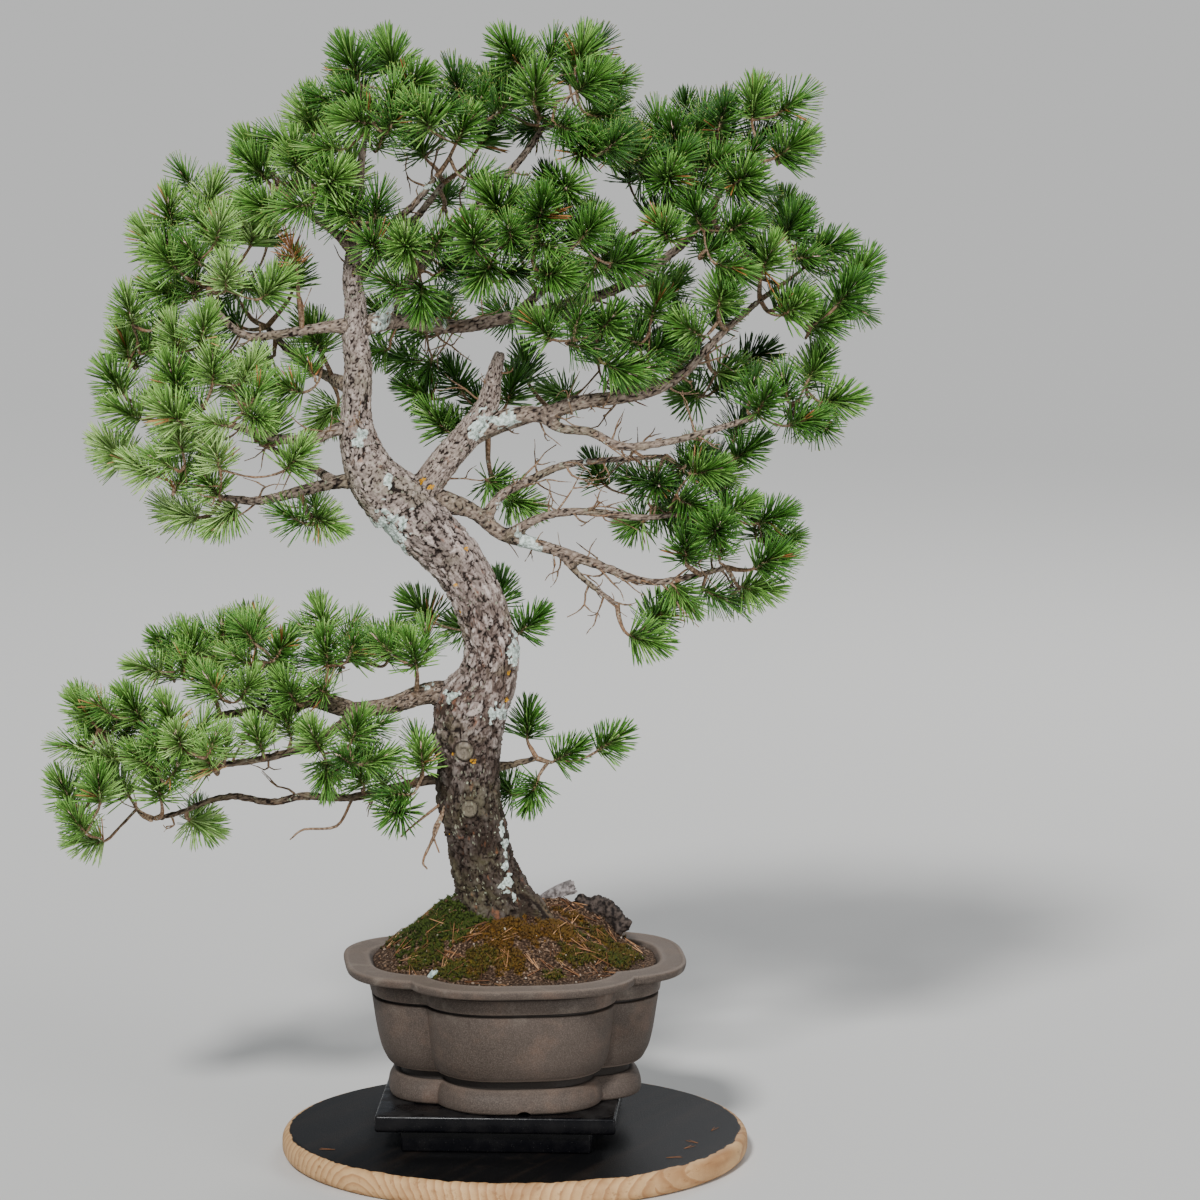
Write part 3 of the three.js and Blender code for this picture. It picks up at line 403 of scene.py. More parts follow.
def dots_group():
    """Small scattered dots, such as lichen or speckles in clay: the middles of some cells."""
    group, given = new_group("dots", Scale=200, Size=0.3, Share=0.5)
    distance = group.add("TexVoronoi", "Distance", {"Vector": given["Place"], "Scale": given["Scale"]})
    cell_number = group.add("SeparateColor", 0, {0: distance.node.outputs["Color"]})
    inside = group.math("LESS_THAN", distance, given["Size"])
    chosen = group.math("LESS_THAN", cell_number, given["Share"])
    return put_out(group, "Mask", group.times(inside, chosen))


BLOTCHES = blotches_group()
GRIT = grit_group()
DOTS = dots_group()
print("shared effects:", [tree.name for tree in (BLOTCHES, GRIT, DOTS)])

# %% [markdown]
# ## The round board
#
# A round top glued up from pine planks, rounded over at its edge and painted black above. The
# paint ends in a ragged line and is scuffed by the pots that stood there. The shape is a
# cylinder with a bevel. The grain is a solid pattern, with year rings round the heart of each
# plank, so end grain and long grain show where the edge really cuts through a plank.

# %% The board's shape
BOARD_ROUND = 10 * MM

low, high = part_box("round_board")
BOARD_RADIUS = (high.x - low.x) / 2
start_fresh()
bpy.ops.mesh.primitive_cylinder_add(
    vertices=180, radius=BOARD_RADIUS, depth=high.z - low.z, location=(0, 0, (low.z + high.z) / 2)
)
board = settle(bpy.context.object)
apply_modifier(board, "BEVEL", width=BOARD_ROUND, segments=7, limit_method="ANGLE")
smooth_by_angle(board, 30)

# %% Pine and scuffed paint
PLANK = 0.105
PLANKS_TURN = math.radians(-62)
PAINTED_OUT_TO = BOARD_RADIUS - 8 * MM
RAGGED = 9 * MM
PINE = {0.0: (204, 167, 121), 0.55: (193, 154, 108), 0.88: (170, 129, 88), 1.0: (184, 142, 98)}


def board_finish():
    finish = Finish("pine_and_black_paint", 0.55, 0.2)
    turn = {"Vector": finish.spot, "Angle": PLANKS_TURN}
    turned = finish.add("VectorRotate", "Vector", turn, rotation_type="Z_AXIS")
    along, across, up = finish.parts(turned)
    plank = finish.math("FLOOR", finish.math("DIVIDE", across, PLANK))
    heart_off = finish.times(finish.math("SINE", finish.times(plank, 2.4)), 0.13)
    ring_x = finish.math("SUBTRACT", finish.math("FLOORED_MODULO", across, PLANK), PLANK / 2)
    ring_x, ring_y = finish.plus(ring_x, heart_off), finish.plus(up, 0.01)
    on_rings = finish.add("CombineXYZ", 0, {0: finish.times(along, 0.06), 1: ring_x, 2: ring_y})
    rings = finish.add(
        "TexWave", "Fac",
        {"Vector": on_rings, "Scale": 40.0, "Distortion": 1.2, "Detail": 2.0, "Detail Scale": 3.0},
        wave_type="RINGS", rings_direction="X", wave_profile="SAW",
    )
    streaked = finish.stretched(turned, 0.08, 1.0, 1.0)
    pine = finish.ramp(rings, PINE)
    pine = finish.over(pine, finish.blotches(150, 0.62, 0.06, streaked), 0.5, (120, 80, 48))
    pine = finish.over(pine, finish.blotches(14, 0.56, 0.1), 0.45, (134, 92, 58))
    pine = finish.over(pine, finish.blotches(70, 0.7, 0.03), 0.7, (70, 48, 34))
    scuffs = finish.times(finish.blotches(26, 0.64, 0.06), 0.16)
    flecks = finish.times(finish.blotches(190, 0.7, 0.03), 0.4)
    paint = finish.mix(finish.math("MAXIMUM", scuffs, flecks), (4, 4, 5), (52, 42, 34))
    paint = finish.over(paint, finish.blotches(45, 0.56, 0.1, streaked), 0.35, (40, 30, 22))
    flat = finish.add("CombineXYZ", 0, {0: along, 1: across})
    from_axis = finish.add("VectorMath", "Value", {0: flat}, operation="LENGTH")
    ragged = finish.math("SUBTRACT", finish.noise(finish.spot, 60, 6), 0.5)
    reach = finish.plus(from_axis, finish.times(ragged, RAGGED))
    bare = finish.steps(reach, PAINTED_OUT_TO, PAINTED_OUT_TO + 1.2 * MM)
    below = finish.steps(up, BOARD_TOP - 6 * MM, BOARD_TOP - 4 * MM, 1.0, 0.0)
    bare = finish.math("MAXIMUM", bare, below)
    finish.set("Roughness", finish.steps(bare, 0.0, 1.0, 0.55, 0.6))
    finish.grit(600, 0.2, 0.25)
    return finish.done(finish.mix(bare, paint, pine))


hand_over(board, "round_board_wood", "board_wood", board_finish(), "round_board")

# %% [markdown]
# ## The low black stand
#
# A slab on a smaller base, both lacquered black. A maker breaks every edge a little, and that
# small round catches the light. So each is a cube primitive with a bevel. The lacquer is glossy,
# with dust lying on it and a slight wave from the brush.

# %% The slab and its base
STAND_MIDDLE = -12
STAND_TURN = math.radians(-3)
STAND = {
    "stand_base": {"size": (187, 216, 22), "foot": 0, "rounding": 2.2},
    "stand_top": {"size": (237, 240, 17), "foot": 22, "rounding": 3},
}
STAND_PIECES = {"stand_base": "stand_base_lacquered", "stand_top": "stand_slab_lacquered"}


def stand_block(size, foot, rounding):
    start_fresh()
    bpy.ops.mesh.primitive_cube_add(size=1, location=place(STAND_MIDDLE, 0, foot + size[2] / 2))
    block = bpy.context.object
    block.scale = [length * MM for length in size]
    block.rotation_euler.z = STAND_TURN
    settle(block)
    apply_modifier(block, "BEVEL", width=rounding * MM, segments=4)
    return smooth_by_angle(block, 40)


def lacquer_finish():
    finish = Finish("black_lacquer", 0.3, 0.2)
    facing_up = finish.parts(finish.add("NewGeometry", "Normal", {}))[2]
    dust = finish.times(finish.blotches(38, 0.55, 0.16), finish.steps(facing_up, 0.2, 0.9, 0.08, 0.3))
    dust = finish.math("MAXIMUM", dust, finish.times(finish.dots(420, 0.16, 0.35), 0.25))
    finish.set("Roughness", finish.steps(dust, 0.0, 0.3, 0.26, 0.55))
    finish.relief(finish.noise(finish.spot, 60, 2), 0.5)
    return finish.done(finish.mix(dust, (3, 3, 6), (70, 67, 64)))


lacquer = lacquer_finish()
for node, block in STAND.items():
    hand_over(stand_block(**block), STAND_PIECES[node], "stand_lacquer", lacquer, node)


# %% [markdown]
# ## The pot
#
# A press-moulded pot with four lobes, fired without glaze. Its outline is four arcs that meet in
# soft valleys, and its section runs from the recess under the foot, over the body and the lip,
# down to the floor inside. A grid primitive is wrapped by those two rules, one direction of the
# grid round the pot and the other along the section. That gives even faces all over, where
# extruding ring after ring would need the same sums and more steps.

# %% A grid wrapped by a rule


def wrapped_grid(around, along, point_at):
    """A closed surface: point_at(u, v) places each corner of a grid, with u going once round."""
    start_fresh()
    bpy.ops.mesh.primitive_grid_add(x_subdivisions=around, y_subdivisions=along, size=1)
    obj = bpy.context.object
    flat = corners_of(obj)[:, :2] + 0.5
    move_corners(obj, [point_at(u % 1.0, v) for u, v in flat])
    bpy.ops.object.mode_set(mode="EDIT")
    bpy.ops.mesh.select_all(action="SELECT")
    bpy.ops.mesh.remove_doubles(threshold=0.01 * MM)
    bpy.ops.mesh.normals_make_consistent(inside=False)
    bpy.ops.object.mode_set(mode="OBJECT")
    return obj


def rounded(section):
    """A section whose corners, each a height, a half width and a rounding, are drawn as arcs."""
    points = np.array([corner[:2] for corner in section], float)
    made = []
    for i, corner in enumerate(section):
        here = points[i]
        if i in (0, len(section) - 1) or corner[2] == 0:
            made.append(here)
            continue
        ways = [points[i - 1] - here, points[i + 1] - here]
        reach = [min(corner[2], np.linalg.norm(way) * 0.48) for way in ways]
        start, end = [here + way / np.linalg.norm(way) * r for way, r in zip(ways, reach)]
        for t in np.linspace(0, 1, 4 if corner[2] < 5 else 9):
            made.append((1 - t) ** 2 * start + 2 * t * (1 - t) * here + t * t * end)
    return np.array(made)


# %% The pot's outline and section
POT_TURN = math.radians(5.2)
POT_HALF_WIDTH = 170
POT_FLOOR = 62

# The four lobes: the half depth and the notches between them follow from the half width
LOBES = {
    "depth_per_width": 1.084, "less_depth": 21.3, "notch_along": 0.65, "notch_across": 0.656,
    "notch_closes": 0.00244, "flatness": 3.2, "shoulder": 0.7, "valley": 0.0022,
}

# Height, half width and corner rounding, from the recess underneath to the floor inside
POT_SECTION = [
    (48, 100, 3), (39, 113, 2), (39, 123.5, 3), (44, 126, 4), (56, 124.6, 6), (62.5, 118.5, 2),
    (63, 113.5, 1), (71.5, 114, 1), (72.5, 123.5, 1.5), (76, 127.5, 3), (92, 135.5, 26), (141, 142.6, 1),
    (141.6, 138.6, 0.4), (143.8, 138.4, 0.4), (144.8, 144, 1.5), (156, 145.4, 7), (162.5, 141, 4),
    (164.5, 150, 2), (165.5, 168, 3), (174, 170, 3), (175, 166.5, 1.2), (174.2, 164.6, 0.6),
    (174.2, 150, 2), (175, 144.6, 2), (166, 137, 6), (62, 109, 8),
]
CLOSING_ROWS = 9


def arc_of_lobes(u, half_width):
    """A point on the four lobes at a share u of the way round, before the valleys are softened."""
    half_depth = LOBES["depth_per_width"] * half_width - LOBES["less_depth"]
    notch_x = LOBES["notch_along"] * half_width
    closing = (POT_HALF_WIDTH - half_width) * LOBES["notch_closes"]
    notch_y = half_depth * (LOBES["notch_across"] - closing)
    lobe, part = divmod((u % 1.0) * 4, 1)
    sideways = lobe % 2 == 0
    reach = half_width if sideways else half_depth
    along, across = (notch_x, notch_y) if sideways else (notch_y, notch_x)
    side = math.sin((part - 0.5) * math.pi)
    bulge = max(0.0, 1 - abs(side) ** LOBES["flatness"]) ** LOBES["shoulder"]
    turn = lobe * math.pi / 2 + POT_TURN
    x, y = along + (reach - along) * bulge, across * side
    return np.array([x * math.cos(turn) - y * math.sin(turn), x * math.sin(turn) + y * math.cos(turn)])


def lobed(u, half_width):
    """The same point with the valleys softened by its neighbours on both sides."""
    before, after = (arc_of_lobes(u + shift, half_width) for shift in (-LOBES["valley"], LOBES["valley"]))
    return (2 * arc_of_lobes(u, half_width) + (before + after)) / 4


def closed_rows(section):
    """Rows of height, half width and closing: out from the axis, along the section, and back in."""
    shares = np.arange(CLOSING_ROWS) / CLOSING_ROWS
    opening = [(*section[0], share) for share in shares]
    closing = [(*section[-1], share) for share in shares[::-1]]
    return opening + [(height, half_width, 1.0) for height, half_width in section] + closing


# %% The pot's shape, with its drain holes and the arches in its foot
POT_AROUND = 192
DRAIN_HOLE = {"radius": 11, "length": 60, "from_centre": 52}
FOOT_ARCH = {"radius": 9, "length": 320, "rise": 4}

section_rows = closed_rows(rounded(POT_SECTION))


def pot_point(u, v):
    height, half_width, closing = section_rows[round(v * (len(section_rows) - 1))]
    x, y = lobed(u, half_width) * closing
    return place(x, y, height)


def cut_away(obj, tool, centre, rotation=(0, 0, 0)):
    """Cuts a cylinder out of a piece."""
    start_fresh()
    bpy.ops.mesh.primitive_cylinder_add(
        vertices=48, radius=tool["radius"] * MM, depth=tool["length"] * MM, location=centre, rotation=rotation
    )
    cutter = settle(bpy.context.object)
    apply_modifier(obj, "BOOLEAN", operation="DIFFERENCE", object=cutter, solver="EXACT")
    bpy.data.objects.remove(cutter)


pot = wrapped_grid(POT_AROUND, len(section_rows) - 1, pot_point)
for side in (-1, 1):
    x, y = (side * DRAIN_HOLE["from_centre"] * turned for turned in (math.cos(POT_TURN), math.sin(POT_TURN)))
    cut_away(pot, DRAIN_HOLE, place(x, y, POT_FLOOR))
arch_height = POT_SECTION[1][0] + FOOT_ARCH["rise"] - FOOT_ARCH["radius"]
cut_away(pot, FOOT_ARCH, place(0, 0, arch_height), (math.pi / 2, 0, POT_TURN))
smooth_by_angle(pot, 34)
print("pot points:", len(pot.data.vertices))

# %% [markdown]
# ## Fired clay
#
# Unglazed stoneware is matte and never one colour. The kiln leaves broad warm and cool clouds,
# fine dark specks of iron, pale worn edges, and a little lime that hard water has left near the
# rim and in the neck. The worn edges follow the section, so each row's wear is stored on the mesh.
# The recesses under the lip, in the groove and above the foot get painted shade, stored the same way.

# %% Wear and painted shade stored on the pot, and its finish
# Heights of the worn edges with how worn each is, and bands of painted shade in the recesses: low, high and
# how dark
WORN_ROWS = {175: 0.7, 165.5: 0.2, 145: 0.3, 73.5: 0.9, 62.5: 0.3, 41: 0.2}
PAINTED_SHADE_BANDS = [(62.8, 72.2, 0.85), (141.2, 144.2, 0.8), (158.5, 165.2, 0.65)]
EDGE_WIDTH = 1.3
INSIDE = {"above": 150, "within": POT_HALF_WIDTH * 0.66, "wear": 0.3}


def stored_wear_and_shade(obj):
    height = (corners_of(obj)[:, 2] - BOARD_TOP) / MM
    outward = np.linalg.norm(corners_of(obj)[:, :2], axis=1) / MM
    wear = sum(amount * np.exp(-(((height - row) / EDGE_WIDTH) ** 2)) for row, amount in WORN_ROWS.items())
    inside = (height > INSIDE["above"]) & (outward < INSIDE["within"])
    mark(obj, "wear", np.where(inside, wear * INSIDE["wear"], wear))
    # Painted shade: the recesses under the lip, in the groove and above the foot are marked to be darkened
    mark(obj, "dirt_and_shade", sum(amount * ((height > low) & (height < high)) for low, high, amount in PAINTED_SHADE_BANDS))


def stoneware_finish():
    finish = Finish("unglazed_stoneware", 0.72, 0.35)
    clouds = finish.blotches(9, 0.5, 0.2)
    fine = finish.noise(finish.spot, 900, 3)
    up = finish.parts(finish.spot)[2]
    splash = finish.steps(up, BOARD_TOP + 120 * MM, BOARD_TOP + 160 * MM, 0.0, 0.35)
    clay = finish.mix(clouds, (56, 47, 40), (73, 63, 56))
    clay = finish.over(clay, finish.blotches(24, 0.6, 0.12), 0.35, (110, 86, 70))
    clay = finish.mix(finish.steps(fine, 0.35, 0.75, 0.0, 0.3), clay, (132, 118, 108))
    clay = finish.over(clay, finish.dots(520, 0.2, 0.3), 0.5, (58, 48, 42))
    clay = finish.over(clay, finish.blotches(32, 0.62, 0.1), splash, (148, 138, 126))
    clay = finish.over(clay, finish.marked("wear"), finish.steps(fine, 0.2, 0.6, 0.4, 0.9), (132, 117, 105))
    finish.set("Roughness", finish.steps(clouds, 0.0, 1.0, 0.66, 0.8))
    finish.grit(620, 0.25, 0.22)
    # Painted shade: the marked recess bands are mixed towards near black
    return finish.done(finish.mix(finish.marked("dirt_and_shade"), clay, (20, 16, 13)))


stored_wear_and_shade(pot)
hand_over(pot, "pot_stoneware", "pot_stoneware", stoneware_finish(), "pot")

# %% [markdown]
# ## The drain screens
#
# Two squares of plastic mesh lie over the holes inside. Their shape in the model is right, so
# they stay and only get a better finish: dull green-black plastic with soil on it.

# %% Plastic for the two screens


def screen_finish():
    finish = Finish("screen_plastic", 0.5)
    dirt_and_shade = finish.blotches(120, 0.52, 0.12)
    finish.set("Roughness", finish.steps(dirt_and_shade, 0.0, 1.0, 0.42, 0.85))
    finish.grit(900, 0.3, 0.2)
    return finish.done(finish.mix(dirt_and_shade, (34, 40, 38), (74, 56, 40)))


plastic = screen_finish()
for name in ("drain_screen_left", "drain_screen_right"):
    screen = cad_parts[name]
    screen.data.materials.clear()
    screen.data.materials.append(plastic)
print("drain screens finished")

# %% [markdown]
# ## The soil
#
# Coarse bonsai soil, mounded up to the trunk, with banks of litter against the wood. Its top is
# another wrapped grid: it runs from the pot's floor up the wall and over the mound, and noise
# makes crumbs and hollows. Where moss grows, the surface swells into cushions. Each point stores
# how mossy it is, for the finish.

# %% The mound and the moss on it
SOIL = {"edge": 171.5, "crown": 47.5, "middle": (-12, 12), "reach": (150, 142), "slope": (0.25, 0.95)}
SOIL_BRIM = 140.4
WALL_GAP = 1.7
SOIL_GRID = {"around": 260, "rows": 96, "wall": 12, "floor": 4}

# Banks of litter and moss: middle x and y, reach in x and y, and rise
BANKS = [(46, 40, 26, 17, 12), (-60, 4, 22, 34, 15), (88, 34, 27, 17, 17)]

# Middle, reach and colour of each moss patch: 0 is green, 0.5 yellow-green, 1 golden
MOSS_PATCHES = [
    (-74, -16, 44, 36, 0.05), (-50, -34, 36, 20, 0.1), (-84, -58, 26, 20, 0.3), (-14, -52, 30, 20, 0.95),
    (10, -46, 30, 18, 1.1), (-30, -84, 28, 18, 0.5), (-58, -94, 26, 15, 0.35), (-8, -86, 22, 18, 0.75),
    (44, -34, 26, 18, 0.85), (62, -60, 22, 16, 0.45), (96, -34, 26, 20, 0.4), (40, -96, 14, 9, 0.35),
    (112, -8, 18, 22, 0.45), (-104, 30, 24, 32, 0.1), (-40, 92, 46, 26, 0.3), (36, 96, 36, 22, 0.8),
    (92, 60, 22, 22, 0.5), (-78, 76, 22, 20, 0.7), (84, 6, 20, 13, 0.5), (52, 14, 16, 9, 0.9),
    (66, -22, 10, 7, 0.3),
]


def lumps(x, y, size, layer):
    """Smooth noise from -1 to 1 over the ground, with lumps of a size in millimetres."""
    return noise.noise(Vector((x / size, y / size, layer)))


def from_middle(x, y):
    """How far out a place lies on the mound: 0 in the middle, 1 at its foot."""
    middle, reach = SOIL["middle"], SOIL["reach"]
    return math.hypot((x - middle[0]) / reach[0], (y - middle[1]) / reach[1])


def soil_height(x, y):
    """The plain mound and its banks, in millimetres."""
    share = min(1.0, from_middle(x, y))
    wave = math.sin(x / 17 + 1) * math.cos(y / 21)
    bank = 0.0
    for middle_x, middle_y, reach_x, reach_y, rise in BANKS:
        bank += rise * math.exp(-(((x - middle_x) / reach_x) ** 2) - ((y - middle_y) / reach_y) ** 2)
    mound = SOIL["crown"] * (1 - float(eased(share, *SOIL["slope"])))
    return SOIL["edge"] + mound + bank + 2.2 * wave * math.sin(math.pi * share)


def moss_at(x, y):
    """How thick the moss is at a place, from 0 to 1, and its colour."""
    rough = 0.6 * lumps(x, y, 15, 3.1) + 0.65 * lumps(x, y, 5, 7.7)
    best, colour = 0.0, 0.5
    for middle_x, middle_y, reach_x, reach_y, shade in MOSS_PATCHES:
        share = math.hypot((x - middle_x) / reach_x, (y - middle_y) / reach_y)
        thick = float(eased(1.05 - share + rough, 0.0, 0.5))
        if thick > best:
            best, colour = thick, shade
    return best, colour + 0.25 * rough


def crumbs(x, y):
    """Relief of the soil, in millimetres: lumps, crumbs and grains."""
    return 1.8 * lumps(x, y, 14, 0) + (1.5 * lumps(x, y, 4.5, 5) + 0.8 * lumps(x, y, 2.2, 9))


def ground_height(x, y):
    """The finished surface: mound, crumbs and moss cushions, in millimetres."""
    thick, _ = moss_at(x, y)
    cushion = 3.4 + 3.2 * lumps(x, y, 9, 2) + 1.6 * lumps(x, y, 4, 6)
    inward = float(eased(1.02 - from_middle(x, y), 0.0, 0.12))
    return soil_height(x, y) + inward * (crumbs(x, y) * (1 - 0.5 * thick) + thick * cushion)


def soil_wall_point(u, row):
    """A point on the soil's floor or on its side, which keeps off the pot's wall."""
    (wall_top, top_width, _), (floor_height, floor_width, _) = POT_SECTION[-2:]
    start = floor_height + 2
    climb = max(0.0, (row - SOIL_GRID["floor"]) / (SOIL_GRID["wall"] - SOIL_GRID["floor"]))
    height = start + climb * (SOIL["edge"] - start)
    widening = (height - floor_height) / (wall_top - floor_height) * (top_width - floor_width)
    half_width = min(floor_width + widening - WALL_GAP, SOIL_BRIM)
    if row == SOIL_GRID["wall"]:
        half_width = SOIL_BRIM
    return place(*(lobed(u, half_width) * min(1.0, row / SOIL_GRID["floor"])), height)


def soil_point(u, v):
    row = v * SOIL_GRID["rows"]
    if row <= SOIL_GRID["wall"]:
        return soil_wall_point(u, row)
    share = (SOIL_GRID["rows"] - row) / (SOIL_GRID["rows"] - SOIL_GRID["wall"])
    x, y = (mid + (edge - mid) * share for mid, edge in zip(SOIL["middle"], lobed(u, SOIL_BRIM)))
    return place(x, y, ground_height(x, y))


soil = wrapped_grid(SOIL_GRID["around"], SOIL_GRID["rows"], soil_point)
soil.data.shade_smooth()
moss_thick, moss_colour = zip(*(moss_at(x / MM, y / MM) for x, y, _ in corners_of(soil)))
mark(soil, "moss", moss_thick)
mark(soil, "moss_colour", moss_colour)
print("soil points:", len(moss_thick))

# %% Earth, and the moss that covers it
EARTH = {0.32: (16, 11, 7), 0.47: (58, 42, 31), 0.58: (98, 76, 58), 0.72: (172, 146, 124)}
GREEN_MOSS = {0.3: (16, 22, 4), 0.55: (46, 56, 12), 0.75: (88, 98, 30)}
GOLD_MOSS = {0.3: (36, 22, 6), 0.55: (84, 56, 16), 0.75: (134, 98, 36)}


def earth_finish():
    finish = Finish("earth_and_moss", 0.95, 0.2)
    earth = finish.ramp(finish.noise(finish.spot, 420, 5), EARTH)
    earth = finish.over(earth, finish.blotches(22, 0.5, 0.12), 0.45, (36, 25, 18))
    light = finish.noise(finish.spot, 260)
    golden = finish.steps(finish.marked("moss_colour"), 0.1, 0.95)
    moss = finish.mix(golden, finish.ramp(light, GREEN_MOSS), finish.ramp(light, GOLD_MOSS))
    finish.grit(300, 0.5, 1.2)
    return finish.done(finish.mix(finish.steps(finish.marked("moss"), 0.25, 0.6), earth, moss))


hand_over(soil, "soil_mound", "soil", earth_finish(), "soil")

# %% [markdown]
# ## Many small things from one
#
# Moss leaves, pebbles, buds, fallen needles and the needles on the tree are all one small shape
# repeated hundreds of times. Each is modelled once, with a few faces. Then its corners
# are copied by matrix into one mesh, which is far quicker than copying objects. Values that the
# finish reads, such as a tone for each copy, are stored with the copies.

# %% Copies of a small shape in one mesh


def copies_of(master, matrices, every=None, **each):
    """One mesh with a copy of the master at each 4 by 4 matrix. The master is removed.

    `every` holds marks with a value for each of the master's corners, the same in all copies.
    The other marks have one value for each copy.
    """
    mesh = master.data
    points = corners_of(master)
    matrices = np.array(matrices)
    corner_index = np.empty(len(mesh.loops), np.int32)
    mesh.loops.foreach_get("vertex_index", corner_index)
    face_start = np.empty(len(mesh.polygons), np.int32)
    mesh.polygons.foreach_get("loop_start", face_start)
    count = len(matrices)
    turned = np.einsum("kij,vj->kvi", matrices[:, :3, :3], points) + matrices[:, None, :3, 3]
    steps = np.arange(count)[:, None]
    made = bpy.data.meshes.new("copies")
    made.vertices.add(count * len(points))
    made.vertices.foreach_set("co", turned.ravel())
    made.loops.add(count * len(corner_index))
    made.loops.foreach_set("vertex_index", (corner_index + steps * len(points)).ravel())
    made.polygons.add(count * len(face_start))
    made.polygons.foreach_set("loop_start", (face_start + steps * len(corner_index)).ravel())
    made.update(calc_edges=True)
    made.shade_smooth()
    bpy.data.objects.remove(master)
    obj = bpy.data.objects.new("copies", made)
    bpy.context.collection.objects.link(obj)
    for name, values in (every or {}).items():
        mark(obj, name, np.tile(values, count))
    for name, values in each.items():
        mark(obj, name, np.repeat(values, len(points)))
    return obj


def placed(point, along, spin, size=1.0):
    """The matrix that puts a shape at a point, turns its z along a direction and spins it."""
    turn = Vector(along).to_track_quat("Z", "Y").to_matrix().to_4x4()
    return Matrix.Translation(point) @ turn @ Matrix.Rotation(spin, 4, "Z") @ Matrix.Scale(size, 4)


# %% A leafy moss shoot, a pebble and a pair of needles


def choose_top(obj):
    """In edit mode, selects only the faces that look up."""
    bpy.ops.mesh.select_mode(type="FACE")
    bpy.ops.mesh.select_all(action="DESELECT")
    mesh = bmesh.from_edit_mesh(obj.data)
    for face in mesh.faces:
        if face.normal.z > 0.9:
            face.select_set(True)
    bmesh.update_edit_mesh(obj.data)


def draw_to_point(obj, length):
    """Draws the top face out into a point."""
    bpy.ops.object.mode_set(mode="EDIT")
    choose_top(obj)
    bpy.ops.mesh.extrude_region_move(TRANSFORM_OT_translate={"value": (0, 0, length * MM)})
    bpy.ops.mesh.merge(type="CENTER")
    bpy.ops.object.mode_set(mode="OBJECT")
    return obj


def moss_shoot():
    """Three narrow leaves that lean out from one foot."""
    start_fresh()
    for turn in (0, 1, 2):
        bpy.ops.mesh.primitive_cone_add(
            vertices=3, radius1=0.62 * MM, depth=3.6 * MM, location=(0, 0, 1.3 * MM),
            rotation=(0.55, 0, 2.1 * turn),
        )
        if turn == 0:
            shoot = settle(bpy.context.object)
            bpy.ops.object.mode_set(mode="EDIT")
    bpy.ops.object.mode_set(mode="OBJECT")
    return shoot


def pebble():
    start_fresh()
    bpy.ops.mesh.primitive_ico_sphere_add(subdivisions=1, radius=1 * MM)
    stone = bpy.context.object
    stone.scale = (1.2, 0.9, 0.7)
    return settle(stone)


NEEDLE = {"length": 33.5, "half_width": 0.84, "straight": 0.86, "apart": math.radians(13), "bend": 1.4}
BLUNT = 0.55


def needle(pointed):
    """One slim three-sided needle on its foot, drawn to a short point or left blunt."""
    start_fresh()
    lower = NEEDLE["length"] * (NEEDLE["straight"] if pointed else 1)
    bpy.ops.mesh.primitive_cone_add(
        vertices=3, radius1=NEEDLE["half_width"] * MM, depth=lower * MM, location=(0, 0, lower / 2 * MM),
        radius2=NEEDLE["half_width"] * (1 if pointed else BLUNT) * MM,
    )
    blade = settle(bpy.context.object)
    return draw_to_point(blade, NEEDLE["length"] - lower) if pointed else blade


def needle_pair(pointed=True, slimmer=1.0):
    """Two needles from one sheath, which part and bend a little outwards."""
    pair = needle(pointed)
    points = corners_of(pair)
    share = points[:, 2] / (NEEDLE["length"] * MM)
    points[:, :2] *= slimmer
    spread = math.sin(NEEDLE["apart"] / 2) * NEEDLE["length"]
    points[:, 0] += (share * spread + NEEDLE["bend"] * share ** 2) * MM
    move_corners(pair, points)
    bpy.ops.object.mode_set(mode="EDIT")
    bpy.ops.mesh.select_all(action="SELECT")
    bpy.ops.mesh.duplicate()
    bpy.ops.transform.rotate(value=math.pi, orient_axis="Z", center_override=(0, 0, 0))
    bpy.ops.object.mode_set(mode="OBJECT")
    return pair


for test in (moss_shoot(), pebble(), needle_pair(), needle_pair(pointed=False)):
    size = [round(length / MM, 1) for length in test.dimensions]
    print("faces:", len(test.data.polygons), "size in mm:", size)
    bpy.data.objects.remove(test)


# %% [markdown]
# ## What lies and grows on the soil
#
# Moss is thousands of tiny leafy shoots that stand off the ground. Between them lie grains of
# baked clay and the tree's own fallen needles, still in pairs and dried to orange. All are
# scattered by seeded chance, so that every run gives the same ground.

# %% Moss by chance
dice = np.random.default_rng(SEED)
MOSS_SHOOTS = 6400
TRUNK_FOOT = {"place": (-17, 4), "radius": 40}


def from_trunk(x, y):
    return math.hypot(x - TRUNK_FOOT["place"][0], y - TRUNK_FOOT["place"][1])


def ground_spot(inside=0.96):
    """A random place on the soil, clear of the trunk's foot."""
    while True:
        u, share = dice.random(), math.sqrt(dice.random()) * inside
        x, y = lobed(u, SOIL_BRIM) * share
        if from_trunk(x, y) > TRUNK_FOOT["radius"]:
            return x, y


def ground_normal(x, y, step=3.0):
    slope_x = (soil_height(x + step, y) - soil_height(x - step, y)) / (2 * step)
    slope_y = (soil_height(x, y + step) - soil_height(x, y - step)) / (2 * step)
    return Vector((-slope_x, -slope_y, 1)).normalized()


moss_matrices, moss_shades = [], []
while len(moss_matrices) < MOSS_SHOOTS:
    x, y = ground_spot()
    thick, colour = moss_at(x, y)
    if thick < 0.3 + 0.4 * dice.random():
        continue
    lean = ground_normal(x, y) + Vector((dice.normal(0, 0.35), dice.normal(0, 0.35), 0))
    spot = place(x, y, ground_height(x, y) - 0.3)
    moss_matrices.append(placed(spot, lean, dice.random() * ANY_TURN, 0.75 + 0.8 * dice.random()))
    moss_shades.append(np.clip(colour + dice.normal(0, 0.12), 0, 1))
moss_form = moss_shoot()
moss_tips = {"tip": eased(corners_of(moss_form)[:, 2], 0, 3 * MM)}
moss = copies_of(moss_form, moss_matrices, moss_tips, moss_colour=moss_shades)


